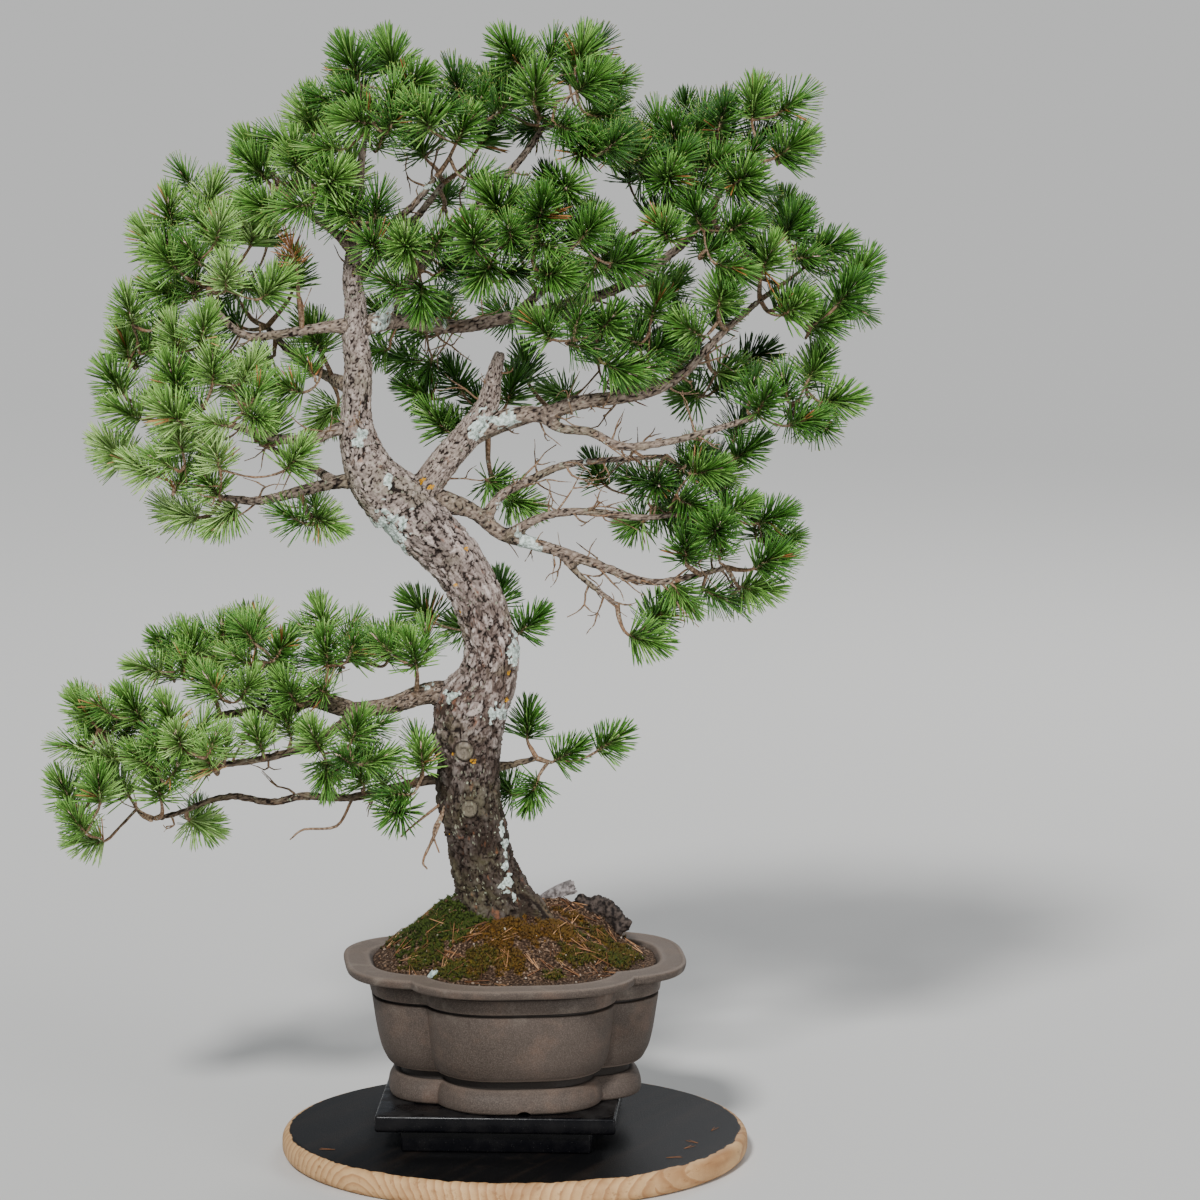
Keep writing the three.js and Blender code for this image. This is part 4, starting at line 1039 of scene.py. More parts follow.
def moss_leaf_finish():
    finish = Finish("moss_leaves", 0.75, 0.3)
    tip = finish.marked("tip")
    green = finish.mix(tip, (12, 19, 3), (66, 84, 16))
    gold = finish.mix(tip, (36, 23, 5), (116, 84, 24))
    leaf = finish.mix(finish.steps(finish.marked("moss_colour"), 0.15, 0.85), green, gold)
    finish.relief(finish.noise(finish.spot, 1500, 2), 0.1)
    return finish.done(finish.over(leaf, finish.blotches(60, 0.62, 0.1), 0.5, (74, 52, 26)))


hand_over(moss, "moss_shoots", "soil", moss_leaf_finish())

# %% Grains of baked clay
PEBBLES = 1000
BAKED_CLAY = {0.0: (52, 38, 28), 0.45: (94, 70, 50), 0.75: (128, 102, 80), 1.0: (176, 164, 148)}

grain_matrices, grain_shades = [], []
for _ in range(PEBBLES):
    x, y = ground_spot()
    up = Vector((dice.normal(0, 1), dice.normal(0, 1), dice.normal(0, 1))).normalized()
    size = 0.6 + 1.3 * dice.random() ** 3
    spot = place(x, y, ground_height(x, y) + 0.3 * size)
    grain_matrices.append(placed(spot, up, dice.random() * ANY_TURN, size))
    grain_shades.append(dice.random())
grains = copies_of(pebble(), grain_matrices, shade=grain_shades)


def grain_finish():
    finish = Finish("baked_clay_grains", 0.92, 0.25)
    clay = finish.ramp(finish.marked("shade"), BAKED_CLAY)
    dust = finish.steps(finish.noise(finish.spot, 700, 3), 0.4, 0.8, 0.0, 0.5)
    finish.grit(900, 0.5, 0.3)
    return finish.done(finish.mix(dust, clay, (60, 44, 32)))


hand_over(grains, "clay_grains", "soil", grain_finish())

# %% Fallen needles, in pairs
FALLEN_NEEDLES = 210
FALLEN_LENGTH = 28
NEEDLES_END = {"rim": 134, "trunk": 42}

# A few needles on the board: x, y and turn
BOARD_NEEDLES = [(168, -92, 0.9), (182, -70, 2.3), (150, -128, 0.2), (196, -20, 1.2), (-176, -96, 2.9)]

fallen_matrices, fallen_shades = [], []
for _ in range(FALLEN_NEEDLES):
    x, y = ground_spot(0.92)
    turn = dice.random() * 2 * math.pi
    size = 0.4 + 0.5 * dice.random()
    end_x = x + FALLEN_LENGTH * size * math.cos(turn)
    end_y = y + FALLEN_LENGTH * size * math.sin(turn)
    start = place(x, y, ground_height(x, y) + 1.2)
    end = place(end_x, end_y, ground_height(end_x, end_y) + 1.6)
    if math.hypot(end_x, end_y) > NEEDLES_END["rim"] or from_trunk(end_x, end_y) < NEEDLES_END["trunk"]:
        continue
    fallen_matrices.append(placed(start, end - start, dice.choice([0, math.pi]) + dice.normal(0, 0.3), size))
    fallen_shades.append(dice.random())
for x, y, turn in BOARD_NEEDLES:
    fallen_matrices.append(placed(place(x, y, 0.6), (math.cos(turn), math.sin(turn), 0.0), 0.0, 0.5))
    fallen_shades.append(0.4)
fallen = copies_of(needle_pair(slimmer=0.65), fallen_matrices, shade=fallen_shades)


def dry_needle_finish():
    finish = Finish("dry_needles", 0.6, 0.4)
    dry = finish.ramp(finish.marked("shade"), {0.0: (70, 44, 28), 0.5: (146, 96, 58), 1.0: (220, 170, 122)})
    finish.relief(finish.noise(finish.spot, 900, 2), 0.1)
    return finish.done(finish.over(dry, finish.blotches(140, 0.58, 0.08), 0.5, (92, 52, 26)))


hand_over(fallen, "fallen_needles", "soil", dry_needle_finish())

# %% [markdown]
# ## The tree's skeleton
#
# Everything on the tree hangs on a few lines: the trunk and its limbs, as points with a place
# and a radius in millimetres, and for each spray the middles of its tufts of needles. They are
# the same lines that the solid model follows, so the finished wood fits it without any fitting.

# %% The trunk and the limbs
# Points from the foot out: x, y, height and radius in millimetres
OLD_ROOT = [
    (58, 60, 205, 8), (71, 54, 213, 11), (85, 46, 213, 12.5), (99, 38, 206, 11), (111, 28, 196, 8),
]
TRUNK = [
    (-17, 4, 150, 36), (-17, 4, 205, 40.5), (-17, 4, 222, 41), (-22, 4, 240, 37), (-33, 3, 273, 32.5),
    (-38, 2, 304, 32), (-45, 0, 330, 33), (-45, -2, 369, 32), (-46, -4, 400, 36), (-41, -6, 430, 37),
    (-28, -8, 453, 31), (-22, -9, 484, 28), (-26, -10, 505, 26.5), (-31, -10, 524, 26.5),
    (-42, -9, 550, 26.5), (-62, -6, 580, 28), (-88, -3, 605, 30), (-112, 0, 630, 29), (-130, -1, 650, 25),
    (-143, -4, 670, 17),
]
LIMBS = {
    "leader": [
        (-112, 0, 628, 27), (-138, -3, 657, 27), (-151, -6, 690, 20.5), (-154, -8, 718, 16),
        (-152, -8, 764, 14.5), (-155, -6, 798, 13.5), (-154, -4, 824, 11.5), (-158, 0, 857, 10),
        (-155, 3, 882, 8.5), (-156, 5, 905, 6),
    ],
    "heavy_right": [
        (-108, 4, 618, 22), (-87, 6, 645, 17), (-67, 8, 672, 15.5), (-43, 8, 700, 14), (-26, 6, 727, 12),
        (-20, 2, 752, 9), (-13, -2, 780, 6),
    ],
    "right_upper": [
        (-43, 8, 700, 10), (2, 4, 717, 9), (32, 0, 719, 8.5), (65, -6, 731, 8), (124, -12, 740, 6.8),
        (163, -10, 757, 5.6), (202, 0, 796, 4.6), (242, 4, 831, 3.8),
    ],
    "right_middle": [
        (26, 0, 719, 6), (46, -8, 706, 5.6), (76, -16, 703, 5.2), (106, -24, 690, 5), (146, -28, 694, 4.6),
        (186, -28, 704, 4.2), (232, -20, 717, 3.6),
    ],
    "right_lower": [
        (-80, 8, 632, 12), (-43, 16, 621, 8.6), (-13, 20, 597, 7.6), (16, 18, 588, 7), (46, 12, 580, 6.2),
        (86, 4, 567, 5.4), (130, 0, 552, 4.6), (171, 0, 556, 4), (210, 2, 566, 3.5),
    ],
    "right_inner": [
        (-30, 18, 610, 6), (-12, 30, 634, 5.4), (14, 36, 647, 5), (46, 34, 662, 4.6), (78, 26, 668, 4.2),
        (116, 18, 672, 3.7), (150, 14, 675, 3.3),
    ],
    "right_fan": [
        (-6, 20, 594, 6), (20, 8, 612, 5.2), (52, -4, 622, 4.8), (92, -12, 622, 4.4), (126, -14, 618, 3.9),
        (160, -10, 620, 3.4),
    ],
    "right_droop": [(46, 12, 580, 4.4), (60, 6, 562, 4), (82, -2, 544, 3.6), (102, -6, 530, 3.2)],
    "low_left": [
        (-50, -6, 438, 13), (-84, -9, 442, 11.5), (-124, -14, 430, 9), (-166, -18, 427, 7.8),
        (-200, -24, 436, 6.4), (-226, -28, 426, 5.6), (-258, -28, 427, 5), (-296, -24, 421, 4.2),
    ],
    "low_left_back": [
        (-160, -17, 428, 6.4), (-194, 4, 438, 5.2), (-230, 26, 442, 4.6), (-262, 40, 446, 3.8),
    ],
    "low_left_lower": [
        (-148, -16, 428, 6.4), (-180, -34, 408, 5.2), (-215, -42, 391, 4.8), (-255, -44, 381, 4.4),
        (-300, -42, 376, 4), (-340, -34, 377, 3.6),
    ],
    "low_left_under": [
        (-52, 4, 354, 7), (-82, 2, 353, 6), (-113, -4, 347, 5.4), (-162, -10, 337, 5), (-209, -8, 338, 4.8),
        (-240, -4, 331, 4.5), (-275, 0, 336, 4.2), (-302, 0, 332, 4), (-330, -4, 321, 3.7),
        (-360, -6, 314, 3.4),
    ],
    "low_right": [(-36, 8, 362, 7), (-4, 22, 364, 4.6), (22, 30, 369, 3.8)],
    "low_back": [(-28, 0, 452, 9), (-22, 38, 462, 5.6), (-28, 66, 474, 4.2)],
    "left_mid": [
        (-136, -4, 652, 11), (-170, -10, 653, 7.6), (-210, -22, 645, 6.2), (-250, -30, 637, 5.2),
        (-286, -26, 640, 4.2),
    ],
    "left_mid_back": [(-176, -11, 652, 6), (-194, 36, 657, 5), (-226, 66, 668, 4.2), (-256, 78, 680, 3.6)],
    "left_fan": [
        (-152, -7, 706, 9), (-174, -14, 705, 6.8), (-196, -28, 697, 5.8), (-228, -40, 700, 5.2),
        (-265, -44, 711, 4.6), (-305, -38, 720, 4.1), (-338, -26, 724, 3.6),
    ],
    "left_upper": [
        (-153, -6, 806, 9), (-182, -10, 806, 6.4), (-219, -16, 801, 5.4), (-260, -16, 798, 4.8),
        (-288, -12, 820, 4.2), (-300, -8, 848, 3.7),
    ],
    "left_back": [(-153, -4, 744, 9), (-184, 46, 750, 6), (-218, 78, 766, 5), (-246, 88, 794, 4.2)],
    "crown_left": [(-155, 3, 880, 7), (-174, -2, 898, 5.2), (-198, -8, 916, 4.4), (-218, -8, 932, 3.7)],
    "crown_top": [(-156, 4, 892, 6.6), (-150, 2, 938, 5.4), (-146, -2, 980, 4.3), (-138, -4, 1010, 3.5)],
    "crown_front": [(-155, 2, 884, 7), (-128, -16, 902, 5.2), (-98, -30, 926, 4.5), (-74, -38, 956, 3.8)],
    "crown_side": [
        (-153, -4, 802, 9.5), (-133, 2, 811, 7.6), (-112, 8, 836, 6.8), (-90, 14, 864, 6.2),
        (-60, 16, 897, 5.7), (-20, 12, 937, 5.1), (12, 4, 975, 4.4), (34, -6, 1008, 3.7),
    ],
    "crown_right": [
        (-140, 0, 808, 9), (-112, 22, 808, 8), (-80, 32, 802, 7.8), (-42, 36, 802, 7.4), (4, 34, 812, 6.8),
        (46, 28, 822, 6.3), (105, 20, 842, 5.7), (163, 14, 882, 5), (194, 8, 922, 4.4), (214, 2, 960, 3.7),
    ],
    "crown_face": [(-56, 16, 901, 5.4), (-38, -18, 893, 4.8), (-8, -46, 893, 4.3), (26, -66, 902, 3.7)],
    "right_face": [(46, 28, 822, 5.4), (56, -4, 812, 4.6), (74, -34, 806, 3.8)],
    "back_crown": [(-157, 0, 850, 8), (-132, 48, 872, 5.8), (-98, 88, 902, 4.8), (-70, 104, 936, 3.8)],
    "back_middle": [(4, 34, 812, 6), (24, 76, 828, 5), (58, 106, 848, 4.3), (90, 118, 872, 3.7)],
    "back_right": [
        (-60, 8, 682, 9), (-26, 56, 692, 6.2), (28, 88, 706, 5.2), (88, 98, 722, 4.4), (140, 94, 738, 3.7),
    ],
}
print("limbs:", len(LIMBS))

# %% The sprays and their tufts
# The limb that a spray grows on, and the x, y and height of each of its tufts
FRONT_SPRAYS = {
    "crown_peak": ("crown_top", (-155, -5, 1060), (-118, 25, 1062), (-98, -34, 1044), (-146, -65, 1012)),
    "crown_left": (
        "crown_left", (-196, 10, 1005), (-210, -35, 972), (-176, -62, 952), (-248, 5, 957),
        (-238, -36, 925),
    ),
    "crown_front_low": ("crown_front", (-159, -62, 925), (-101, -82, 893), (-88, -70, 845)),
    "crown_front_high": ("crown_front", (-84, -76, 1014), (-50, -44, 999), (-22, 20, 1034)),
    "crown_centre_high": ("crown_side", (1, -10, 1070), (22, -50, 1038), (65, 2, 1069), (72, -44, 1046)),
    "crown_centre_mid": ("crown_side", (51, -90, 950), (69, -60, 985), (97, -14, 984)),
    "crown_centre_low": ("crown_face", (-14, -80, 931), (-36, -115, 902), (28, -106, 926), (-24, -90, 872)),
    "crown_centre_right": ("crown_face", (72, -116, 910), (36, -106, 869), (107, -100, 880)),
    "right_face": (
        "right_face", (91, -86, 818), (30, -90, 812), (100, -76, 774), (138, -58, 830), (142, -40, 788),
    ),
    "crown_right_high": ("crown_right", (159, -20, 988), (150, -66, 956), (190, 12, 962), (206, 36, 996)),
    "crown_right_tip": ("crown_right", (234, 0, 1020), (266, -10, 979), (220, -38, 952)),
    "right_shoulder": ("crown_right", (179, -72, 920), (148, -106, 908), (216, -58, 909), (208, -84, 874)),
    "right_tip_upper": ("right_upper", (270, 0, 903), (246, -46, 874), (305, 12, 881)),
    "right_tip": ("right_upper", (338, 0, 856), (322, -36, 838), (302, -16, 811), (271, -52, 828)),
    "right_middle_front": ("right_upper", (202, -62, 840), (174, -54, 808), (210, 22, 757), (176, 42, 732)),
    "right_arm_tip": ("right_middle", (295, 0, 764), (314, 4, 731), (281, -36, 716), (242, -52, 734)),
    "right_inner": (
        "right_inner", (227, 20, 678), (186, -6, 662), (202, 48, 648), (140, -14, 652), (172, -28, 634),
    ),
    "right_low_tip": ("right_fan", (216, -22, 626), (252, 4, 614), (258, 34, 588), (197, -58, 610)),
    "right_low_end": ("right_lower", (247, -16, 574), (236, 6, 545), (169, -32, 586), (164, 2, 540)),
    "right_droop": ("right_droop", (125, -10, 497), (143, 22, 516)),
    "left_top": (
        "left_upper", (-335, 0, 914), (-298, 30, 926), (-286, -42, 902), (-352, 20, 884), (-334, -28, 872),
        (-338, 6, 838),
    ),
    "left_top_inner": ("left_upper", (-254, 0, 896), (-278, -52, 858), (-236, -32, 845)),
    "left_dead_tuft": ("left_upper", (-214, -30, 878)),
    "left_mid_outer": (
        "left_fan", (-375, 0, 818), (-328, -40, 796), (-300, -66, 806), (-381, 26, 780), (-389, 0, 748),
        (-375, -28, 722), (-328, -62, 758),
    ),
    "left_mid_face": ("left_fan", (-291, -72, 770), (-258, -50, 766), (-250, -86, 727), (-327, -88, 728)),
    "left_low": (
        "left_mid", (-390, 0, 680), (-359, -36, 668), (-324, -66, 700), (-287, -72, 685), (-294, -40, 652),
        (-213, -94, 685),
    ),
    "left_low_edge": ("left_mid", (-321, 0, 618), (-281, -20, 622), (-188, -38, 619)),
    "left_inner": ("left_back", (-195, 20, 790), (-216, -36, 748), (-182, 62, 712)),
    "pad_upper_far": (
        "low_left", (-359, 0, 464), (-315, -8, 488), (-301, -46, 456), (-271, 14, 494), (-230, -32, 488),
        (-262, -62, 454),
    ),
    "pad_upper_near": (
        "low_left", (-189, 24, 508), (-184, -34, 486), (-218, -58, 450), (-152, -8, 481), (-125, 28, 484),
        (-98, -36, 482),
    ),
    "pad_lower_left": (
        "low_left_lower", (-423, 0, 420), (-372, -35, 429), (-414, 38, 392), (-402, -24, 380),
    ),
    "pad_lower_mid": (
        "low_left_lower", (-337, -56, 424), (-362, -62, 384), (-325, -92, 408), (-299, -76, 386),
        (-249, -68, 404), (-222, -40, 416),
    ),
    "pad_lower_near": (
        "low_left_lower", (-192, -78, 406), (-185, -38, 368), (-155, -62, 412), (-138, -44, 380),
    ),
    "low_tip": (
        "low_left_under", (-443, 0, 338), (-430, -22, 312), (-420, 14, 288), (-408, -46, 350),
        (-392, 36, 338), (-350, -32, 348), (-314, 6, 308),
    ),
    "low_trunk": ("low_left_under", (-90, -46, 381), (-153, -22, 362), (-114, -36, 328)),
    "trunk_right": ("low_right", (13, 42, 398), (19, 14, 340), (-8, 56, 332), (50, 20, 374), (92, 10, 387)),
}

# How many tufts each rounded mass at the back has, and its limb, middle and half size
BACK_TUFTS = 4
BACK_SPRAYS = {
    "back_crown_left": ("crown_left", (-205, 68, 950), (52, 42, 48)),
    "back_crown_middle": ("back_crown", (-78, 108, 985), (58, 46, 46)),
    "back_crown_centre": ("crown_side", (34, 74, 1008), (58, 48, 48)),
    "back_crown_right": ("crown_right", (148, 76, 962), (58, 48, 48)),
    "back_middle": ("back_middle", (92, 136, 905), (60, 44, 48)),
    "back_middle_left": ("back_crown", (-92, 138, 880), (56, 44, 46)),
    "back_shoulder": ("right_upper", (246, 78, 866), (56, 44, 46)),
    "back_right": ("back_right", (182, 112, 764), (62, 44, 44)),
    "back_right_low": ("back_right", (62, 128, 732), (56, 36, 38)),
    "back_left_top": ("left_back", (-268, 92, 846), (58, 46, 48)),
    "back_left_middle": ("left_back", (-304, 96, 764), (60, 42, 42)),
    "back_left_low": ("left_mid_back", (-292, 92, 690), (58, 40, 36)),
    "back_pad": ("low_left_back", (-286, 62, 466), (62, 44, 24)),
    "back_low": ("low_back", (-38, 92, 496), (58, 42, 28)),
}
print("sprays in front:", len(FRONT_SPRAYS), "at the back:", len(BACK_SPRAYS))

# %% Smooth lines through the points


def smooth_line(line, pieces=6):
    """Extra points on a Catmull-Rom curve, with the radius carried along."""
    knots = np.array(line, float)
    ends = np.vstack([2 * knots[0] - knots[1], knots, 2 * knots[-1] - knots[-2]])
    made = []
    for before, here, there, after in zip(ends, ends[1:], ends[2:], ends[3:]):
        for t in np.arange(pieces) / pieces:
            bend = (2 * before - 5 * here + 4 * there - after) * t * t
            twist = (3 * here - before - 3 * there + after) * t ** 3
            made.append(0.5 * (2 * here + (there - before) * t + bend + twist))
    made.append(knots[-1])
    return np.array(made)


# How much thicker a limb is where it leaves the wood
COLLAR = 1.25

WOOD_LINES = {"trunk": smooth_line(TRUNK)}
for limb, ((*foot, radius), *rest) in LIMBS.items():
    WOOD_LINES[limb] = smooth_line([(*foot, radius * COLLAR), *rest])
print("lines:", len(WOOD_LINES), "points:", sum(len(line) for line in WOOD_LINES.values()))

# %% [markdown]
# ## Wood grown as one piece
#
# Tubes along the lines overlap where limbs join. A voxel remesh melts them into one skin, and a
# little smoothing gives the collars that real limbs have. Roots are tubes as well, that flare
# into the soil. The heavy wood gets small voxels for its bark, the slim limbs larger ones.

# %% Tubes, joined and melted together
HEAVY = ["trunk", "leader", "heavy_right", "low_left"]
VOXEL = {"heavy": 1.72, "slim": 2.65}

# Each root's turn, reach and radius, and how it goes: share of the reach, rise and thickness
ROOTS = [(-1.85, 58, 10), (-0.4, 70, 14), (0.5, 62, 11), (1.35, 58, 10), (2.35, 60, 11), (3.3, 60, 10)]
ROOT_COURSE = [(0.1, 22, 1.4), (0.42, 9, 1.2), (0.62, -2, 0.95), (0.8, -9, 0.7), (1.0, -22, 0.4)]


def tubes(lines, around=2):
    """Closed tubes along lines of x, y, height and radius, as one mesh."""
    start_fresh()
    bpy.ops.curve.primitive_bezier_curve_add()
    curve = bpy.context.object
    curve.data.splines.clear()
    curve.data.dimensions = "3D"
    curve.data.bevel_depth = MM
    curve.data.bevel_resolution = around
    curve.data.use_fill_caps = True
    for line in lines:
        spline = curve.data.splines.new("POLY")
        spline.points.add(len(line) - 1)
        for point, (x, y, height, radius) in zip(spline.points, line):
            point.co = (*place(x, y, height), 1)
            point.radius = radius
    pick(curve)
    bpy.ops.object.convert(target="MESH")
    return bpy.context.object


def root_line(turn, reach, radius):
    """A root that leaves the trunk's foot, arches over the soil's surface and dives."""
    way = np.array([math.cos(turn), math.sin(turn)])
    line = []
    for share, rise, size in ROOT_COURSE:
        x, y = np.array(TRUNK_FOOT["place"]) + way * reach * share
        line.append([x, y, soil_height(x, y) + rise, radius * size])
    return smooth_line(line)


def melted(lines, voxel):
    wood = tubes(lines, around=4)
    apply_modifier(wood, "REMESH", mode="VOXEL", voxel_size=voxel * MM)
    apply_modifier(wood, "SMOOTH", factor=0.5, iterations=6)
    return wood


heavy_lines = [WOOD_LINES[limb] for limb in HEAVY] + [root_line(*root) for root in ROOTS]
slim_lines = [line for limb, line in WOOD_LINES.items() if limb not in HEAVY]
heavy_wood = melted(heavy_lines, VOXEL["heavy"])
slim_wood = melted(slim_lines, VOXEL["slim"])
print("skin points:", len(heavy_wood.data.vertices), len(slim_wood.data.vertices))

# %% [markdown]
# ## Bark that follows the wood
#
# Pine bark breaks into plates that are longer than wide, with deep fissures between them. They
# run along the limb wherever it bends. So each point of the skin looks up the nearest line and
# gets its own bark coordinates: round the limb, and along it. Cells in these coordinates are
# the plates. Their height is real relief, and what each point is (fissure, plate, lichen) is
# stored for the finish.

# %% The nearest line to every point
# The columns of a sample: four vectors and four numbers
PLACE, WAY, SIDE, ACROSS = slice(0, 3), slice(3, 6), slice(6, 9), slice(9, 12)
TRAVELLED, RADIUS, LINE_NUMBER, GIRTH = 12, 13, 14, 15
FIRST_SIDE = (0.31, -0.9, 0.3)
LINES_APART = 0.7
AT_ONCE = 4000


def wood_samples():
    """A row of those columns for every point of every line."""
    rows = []
    for number, line in enumerate(WOOD_LINES.values()):
        points = np.array([place(x, y, height) for x, y, height, _ in line])
        along = np.gradient(points, axis=0)
        along /= np.linalg.norm(along, axis=1)[:, None]
        travelled = np.concatenate([[0], np.cumsum(np.linalg.norm(np.diff(points, axis=0), axis=1))])
        side = np.array(FIRST_SIDE)
        for point, way, length, radius in zip(points, along, travelled, line[:, 3] * MM):
            side = side - way * side.dot(way)
            side /= np.linalg.norm(side)
            across = np.cross(way, side)
            rows.append([*point, *way, *side, *across, length, radius, number, line[:, 3].mean() * MM])
    return np.array(rows)


SAMPLES = wood_samples()
print("samples along the wood:", len(SAMPLES))


def nearest_sample(points):
    """The sample whose skin lies nearest to each point."""
    best = []
    for start in range(0, len(points), AT_ONCE):
        part = points[start:start + AT_ONCE, None]
        gaps = np.linalg.norm(part - SAMPLES[None, :, PLACE], axis=2) - SAMPLES[None, :, RADIUS]
        best.append(gaps.argmin(axis=1))
    return SAMPLES[np.concatenate(best)]


def bark_place(points, rows):
    """Coordinates in millimetres that wrap round the limb and run along it."""
    gap = points - rows[:, PLACE]
    along, x, y = ((gap * rows[:, way]).sum(axis=1) for way in (WAY, SIDE, ACROSS))
    along = rows[:, TRAVELLED] + along + rows[:, LINE_NUMBER] * LINES_APART
    out = np.maximum(np.hypot(x, y), 1e-6)
    girth = rows[:, GIRTH]
    return np.stack([x / out * girth, y / out * girth, along], axis=1) / MM


# %% Plates, fissures, scars and lichen
# The lichen patches that show in front: x, height, half width, half height
LICHEN = [
    (-121, 603, 18, 26), (-33, 708, 11, 13), (-6, 714, 16, 11), (-122, 656, 6, 6), (-19, 424, 11, 9),
    (2, 487, 6, 15), (-12, 306, 3, 9), (-9, 287, 3, 8), (-8, 270, 3, 5), (-7, 252, 5, 9), (0, 240, 3, 4),
    (-99, 946, 24, 9), (-125, 816, 14, 24), (-150, 700, 6, 10), (-64, 443, 9, 5), (-84, 448, 6, 4),
]

# Spots of golden lichen, and the scars of two cut limbs: x, height, radius
GOLD_LICHEN = [
    (-55, 552, 3.2), (-53, 526, 2.8), (-4, 466, 3.6), (-6, 438, 3), (-60, 384, 2.8), (-40, 378, 2.6),
    (-121, 818, 4), (-113, 828, 3.2), (-90, 655, 3), (-81, 646, 3.4), (-98, 700, 2.6), (-45, 590, 2.6),
    (-68, 300, 2.6),
]
SCARS = [(-49, 388, 9), (-44, 329, 8)]

# Plates and relief follow the limb's radius. Both are held between two sizes in millimetres
PLATE = {"per_girth": 0.36, "size": (3.4, 10.5), "longer": 1.35}
RELIEF = {"per_girth": 0.052, "depth": (0.3, 1.9), "rough_below": (260, 480), "rougher": 0.4}


def bell(value, middle, width):
    return np.exp(-(((value - middle) / width) ** 2))


def plates_at(spots, cell):
    """For each point: how deep in a fissure it lies, its plate's tone, and its height."""
    fissures, tones, lift = np.zeros((3, len(spots)))
    for i, (spot, size) in enumerate(zip(spots, cell)):
        at = Vector((spot[0] / size, spot[1] / size, spot[2] / size / PLATE["longer"]))
        at += 0.3 * noise.noise_vector(at * 1.3) + 0.22 * noise.noise_vector(at * 3.7)
        distances, middles = noise.voronoi(at)
        flakes, flake_middles = noise.voronoi(at * 2.3 + Vector((5, 1, 8)))
        long_crack = abs(noise.noise(Vector((at.x * 0.55, at.y * 0.55, at.z * 0.2))))
        fissure = 1 - min(1.0, (distances[1] - distances[0]) / 0.26)
        flake_edge = 1 - min(1.0, (flakes[1] - flakes[0]) / 0.3)
        deep = max(0.0, 1 - long_crack / 0.06)
        tone = noise.cell(middles[0] * 7.3)
        step = noise.cell(flake_middles[0] * 5.1)
        fissures[i] = max(0.95 * fissure ** 1.1, deep, 0.5 * flake_edge ** 1.5)
        tones[i] = 0.5 + 0.3 * tone + 0.28 * step
        lift[i] = 0.35 * tone + 0.4 * step + 0.25 * noise.noise(at * 5.0)
        lift[i] -= 1.25 * fissure ** 1.4 + 0.35 * flake_edge + 1.3 * deep
    return fissures, tones, lift


def bark_on(wood):
    """Raises the bark's relief and stores what each point of it is."""
    points = corners_of(wood)
    rows = nearest_sample(points)
    spots = bark_place(points, rows)
    girth = rows[:, GIRTH] / MM
    x, height = points[:, 0] / MM, (points[:, 2] - BOARD_TOP) / MM
    fissures, tones, lift = plates_at(spots, np.clip(girth * PLATE["per_girth"], *PLATE["size"]))
    front = eased(-points[:, 1] / MM, -14, 6)
    ragged = noise_at(points, 7) + 0.6 * noise_at(points, 3)
    lichen, gold, scar = np.zeros((3, len(points)))
    for middle_x, middle_height, half_x, half_height in LICHEN:
        share = np.hypot((x - middle_x) / half_x, (height - middle_height) / half_height)
        lichen = np.maximum(lichen, eased(0.95 - share + 1.15 * ragged, 0.0, 0.25) * front)
    behind = noise_at(points, 34, (4, 9, 1))
    lichen = np.maximum(lichen, eased(behind + 0.3 * ragged, 0.48, 0.6) * (1 - front))
    for middle_x, middle_height, radius in GOLD_LICHEN:
        share = np.hypot(x - middle_x, height - middle_height) / radius
        gold = np.maximum(gold, eased(1.1 - share + 0.9 * ragged, 0.0, 0.5) * front)
    for middle_x, middle_height, radius in SCARS:
        share = np.hypot(x - middle_x, height - middle_height) / radius
        near = (share < 1.4) & (front > 0.5)
        ring = 1.3 * bell(share, 0.72, 0.2) - 1.2 * bell(share, 1.15, 0.16)
        dark = bell(share, 1.15, 0.13) + 0.7 * bell(share, 0.42, 0.12)
        scar = np.maximum(scar, np.where(near, eased(1.2 - share, 0, 0.3), 0))
        fissures = np.where(near, np.maximum(0.35 * fissures, dark), fissures)
        lift = np.where(near, lift * 0.3 + ring, lift)
    lift = lift * (1 - 0.5 * lichen) + 0.5 * lichen * (1 + ragged)
    rougher = 1 + RELIEF["rougher"] * (1 - eased(height, *RELIEF["rough_below"]))
    depth = np.clip(girth * RELIEF["per_girth"], *RELIEF["depth"]) * rougher
    raise_surface(wood, lift * depth)
    marks = {"fissure": fissures, "plate": tones, "lichen": lichen, "gold": gold, "scar": scar}
    for name, values in marks.items():
        mark(wood, name, values)
    mark(wood, "bark_place", spots * MM)
    mark(wood, "girth", np.clip(girth / 30, 0, 1))
    wood.data.shade_smooth()


bark_on(heavy_wood)
bark_on(slim_wood)
print("relief raised on", len(heavy_wood.data.vertices) + len(slim_wood.data.vertices), "points")

# %% [markdown]
# ## The bark's colours
#
# Old Scots pine bark is grey-brown with a pink cast on its plates and dark rust in its fissures,
# which are darkened further by painted shade. Near the soil it is darker, partly its own colour
# and partly painted shade; higher up it is painted paler and pinker as painted light; and slim
# limbs are browner. Crusts of pale lichen sit on it, some as big patches and most as dots of a
# millimetre or two. The finish mixes them in that order, from the bark out.

# %% The bark finish
PLATES = {0.3: (70, 56, 48), 0.42: (112, 96, 88), 0.54: (148, 132, 124), 0.74: (196, 182, 174)}
SLIM_BARK = {0.32: (84, 66, 50), 0.7: (166, 146, 124)}
LICHEN_CRUST = {0.35: (140, 154, 142), 0.6: (214, 226, 220)}


